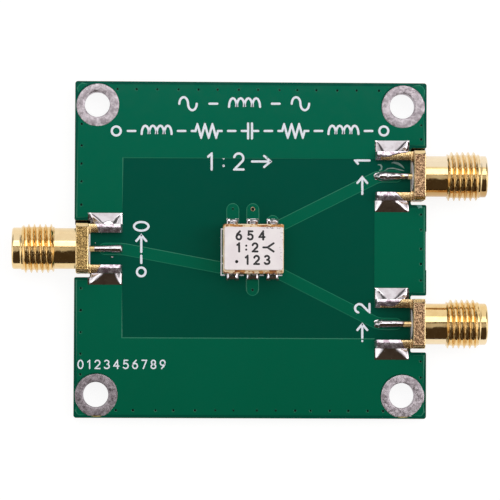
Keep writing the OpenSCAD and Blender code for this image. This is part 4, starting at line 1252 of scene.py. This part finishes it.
# Outline of the module with the mark of its first lead
outline = [
    [(-3.3, 2.64), (-3.72, 2.64), (-3.72, -3.2), (-3.3, -3.2)],
    [(-1.35, -3.2), (-0.92, -3.2)],
    [(1.2, -3.2), (1.62, -3.2)],
    [(3.55, -3.2), (3.95, -3.2)],
    arc(-3.72, -1.25, 0.5, 0.5, 90, -90, 12),
]
for stroke in outline:
    parts += stroke_parts(stroke, 0.17, 0.02, copper_height)
made_piece("printed_marks", parts, silk, (), 50, False)

LID_TOP = 6.89
parts = []
for row in (("654", 236.5, 239.5, 8.2, 28), (["1", ":", "2", "fork"], 237.0, 251.5, 8.2, 37),
            ("123", 245.5, 264, 8.2, 24)):
    parts += printed(line_of(*row), 0.27, 0.008, LID_TOP)
dot = spot(236.7, 261.6, LID_TOP)
parts += stroke_parts([dot, dot + 0.004], 0.42, 0.008, lambda x, y: LID_TOP)
made_piece("lid_marks", parts, ink, (), 50, False)


# Traces of the soldering: two small balls, dried flux and a turquoise smear on the mask
def ball(px, py, r):
    cx, cy = spot(px, py)
    rings = [level_ring(cx, cy, r * math.cos(a), BOARD_TOP + r * 0.8 + r * math.sin(a), around(16))
             for a in np.radians(np.linspace(-60, 90, 9))]
    return grid(np.stack(rings), wrap_v=True)


made_piece("solder_balls", [ball(112.1, 257, 0.15), ball(95.3, 243, 0.08)], solder)


def smear(points, widths):
    """Thin pool along points in pixels, with its width in millimetres at each point."""
    pts = np.array([spot(px, py) for px, py in points])
    dense = np.linspace(0, 1, 40)
    ts = np.linspace(0, 1, len(pts))
    line = np.stack([np.interp(dense, ts, pts[:, 0]), np.interp(dense, ts, pts[:, 1])], -1)
    width = np.interp(dense, ts, widths)
    along = np.gradient(line, axis=0)
    side = np.stack([-along[:, 1], along[:, 0]], -1) / np.linalg.norm(along, axis=1)[:, None]
    rows = []
    for c, n, w in zip(line, side, width):
        row = []
        for share, rise in ((1, 0.0), (0.7, 0.7), (0.3, 1.0), (-0.3, 1.0), (-0.7, 0.7), (-1, 0.0)):
            q = c + n * share * w / 2 * (1 + 0.3 * float(noise(np.array([c[0], c[1], share]), 0.3, 8)))
            row.append((q[0], q[1], copper_height(*q) - 0.001 + 0.02 * rise))
        rows.append(row)
    return grid(np.array(rows))


parts = [
    smear([(391.5, 163), (394, 162.4), (397.5, 163.4), (401.5, 165.6), (404.6, 168.8)],
          (0.06, 0.22, 0.32, 0.22, 0.03)),
    smear([(384.5, 170.6), (388, 168.6), (393, 168.2), (399, 169.6), (404, 170.9)],
          (0.05, 0.13, 0.16, 0.14, 0.06)),
    smear([(377.6, 164.8), (380.4, 164.9), (381.8, 166.8), (381, 169.6)], (0.05, 0.2, 0.2, 0.06)),
    smear([(379.4, 170.4), (382.4, 168.8)], (0.12, 0.1)),
]
made_piece("flux_strokes", parts, flux, tidy=False)
parts = [smear([(416.8, 205.3), (419.3, 206.6), (421.3, 207.4)], (0.12, 0.45, 0.2)),
         smear([(419.2, 205.2), (420.6, 206.2), (421.6, 208.2)], (0.08, 0.3, 0.15))]
made_piece("mask_smear", parts, turquoise, tidy=False)


# Stage and light ---------------------------------------------------------------------------
world = bpy.data.worlds.new("studio")
scene.world = world
world.use_nodes = True
world.node_tree.nodes.clear()
studio = Nodes(world.node_tree)
# White where the camera and reflections meet it, and a weaker fill for the light on the object
fill = studio.node("ShaderNodeBackground", {"Color": (1, 0.99, 0.985, 1), "Strength": 0.62})
shown = studio.node("ShaderNodeBackground", {"Color": (1, 1, 1, 1), "Strength": 1.0})
both = studio.node("ShaderNodeMixShader", {0: studio.seen(), 1: fill.outputs[0], 2: shown.outputs[0]})
studio.node("ShaderNodeOutputWorld", {"Surface": both.outputs[0]})


def bare_material(name):
    """A material without nodes, and the calls that add them."""
    mat = bpy.data.materials.new(name)
    mat.use_nodes = True
    mat.node_tree.nodes.clear()
    return mat, Nodes(mat.node_tree)


def stage_mesh(name, points, faces, mat):
    mesh = bpy.data.meshes.new(name)
    mesh.from_pydata([tuple(q) for q in np.asarray(points) * MM], [], faces)
    mesh.materials.append(mat)
    ob = bpy.data.objects.new(name, mesh)
    scene.collection.objects.link(ob)
    return ob


QUAD = [(0, 1, 2, 3)]
floor_mat, tree = bare_material("floor")
diffuse = tree.node("ShaderNodeBsdfDiffuse", {"Color": (0.8, 0.8, 0.8, 1)})
glow = tree.node("ShaderNodeEmission", {"Strength": 1.12})
both = tree.node("ShaderNodeMixShader", {0: tree.math("MULTIPLY", tree.seen(), 0.78),
                                         1: diffuse.outputs[0], 2: glow.outputs[0]})
tree.node("ShaderNodeOutputMaterial", {"Surface": both.outputs[0]})
stage_mesh("floor", [(-900, -900, 0), (900, -900, 0), (900, 900, 0), (-900, 900, 0)], QUAD, floor_mat)


# Under two of the gaps beside the jacks the photograph shows no light
shade_mat = bpy.data.materials.new("gap_shade")
shade_mat.use_nodes = True
principled = shade_mat.node_tree.nodes["Principled BSDF"].inputs
principled["Base Color"].default_value = (0.02, 0.016, 0.006, 1)
principled["Specular IOR Level"].default_value = 0.0
for port in ("input", "output_1"):
    # Dark slot between the flange and the notch's upper side
    sign, port_y, _ = PORTS[port]
    corners = [(sign * x, port_y + y, BOARD_TOP - 1.5)
               for x, y in ((20.3, 3.1), (22.3, 3.1), (22.3, 3.8), (20.3, 3.8))]
    stage_mesh("shade_" + port, corners, QUAD, shade_mat)


CARD_RADIUS = 330


def card(name, directions, faces, level):
    """A dark or bright card on a sphere round the object that only glossy rays meet."""
    mat, tree = bare_material(name)
    emission = tree.node("ShaderNodeEmission", {"Color": (*level, 1)})
    tree.node("ShaderNodeOutputMaterial", {"Surface": emission.outputs[0]})
    ob = stage_mesh(name, np.array(directions) * CARD_RADIUS + [0, 0, 3], faces, mat)
    ob.visible_camera = ob.visible_diffuse = ob.visible_shadow = ob.visible_transmission = False


def sky_patch(place, n):
    """Grid of directions; place gives the one for two shares from 0 to 1."""
    shares = np.linspace(0, 1, n + 1)
    return grid(np.array([[place(k, m) for m in shares] for k in shares]))


def back_to_front(k, m):
    """From a little behind the zenith down to the front, wider as it goes."""
    lat = math.radians(10.0 - 100.2 * k)
    a = math.radians(24 + 14 * k) * (2 * m - 1)
    return math.sin(a), math.cos(a) * math.sin(lat), math.cos(a) * math.cos(lat)


DARK = (0.056, 0.04, 0.026)
card("flag", *sky_patch(back_to_front, 24), DARK)
# Dark table in front, which only flat mirror angles meet
table = np.array([(-260, -60, -2.8), (260, -60, -2.8), (330, -900, -2.8), (-330, -900, -2.8)])
card("apron", table / CARD_RADIUS, QUAD, DARK)


def wedge(azimuth0, azimuth1, low, high, n=12):
    """Directions between two azimuths from +Y and two tilts from the zenith."""
    def place(k, m):
        tilt = math.radians(low + (high - low) * k)
        a = math.radians(azimuth0 + (azimuth1 - azimuth0) * m)
        return math.sin(tilt) * math.sin(a), math.sin(tilt) * math.cos(a), math.cos(tilt)

    return sky_patch(place, n)


for side in (1, -1):
    # A narrow dark gap beside the back softbox, and bright walls that fade towards the front
    for k, level in enumerate((0.5, 0.16, 0.1, 0.1, 0.1, 0.16, 0.5)):
        card(f"gap_{side}_{k}", *wedge(side * (20 + 7 * k), side * (27 + 7 * k), 34, 88, 4), (level,) * 3)
    card(f"pane_{side}", *wedge(side * 90, side * 118, 34, 62), (4.5 if side > 0 else 2.5,) * 3)
    for k, level in enumerate((0.7, 0.85, 1.5, 1.5, 1.3, 0.9, 0.6, 0.3)):
        card(f"wall_{side}_{k}", *wedge(side * (70 + 9 * k), side * (79 + 9 * k), 40, 97, 4), (level,) * 3)


def lamp(name, direction, distance, size_x, size_y, radiance, color=(1, 1, 1)):
    """Soft box that faces the object from a direction (tilts from the zenith to +X and +Y, degrees)."""
    a, b = (math.radians(t) for t in direction)
    d = Vector((math.tan(a), math.tan(b), 1)).normalized()
    data = bpy.data.lights.new(name, "AREA")
    data.shape = "RECTANGLE"
    data.size, data.size_y = size_x, size_y
    data.energy = radiance * math.pi * size_x * size_y
    data.color = color
    ob = bpy.data.objects.new(name, data)
    scene.collection.objects.link(ob)
    ob.location = d * distance
    ob.rotation_mode = "QUATERNION"
    ob.rotation_quaternion = d.to_track_quat("Z", "Y")


lamp("softbox_back", (0, 23), 1.2, 1.1, 0.78, 1.5, (1, 0.995, 0.98))
lamp("softbox_right", (47, 8), 1.3, 0.5, 0.8, 3.2)
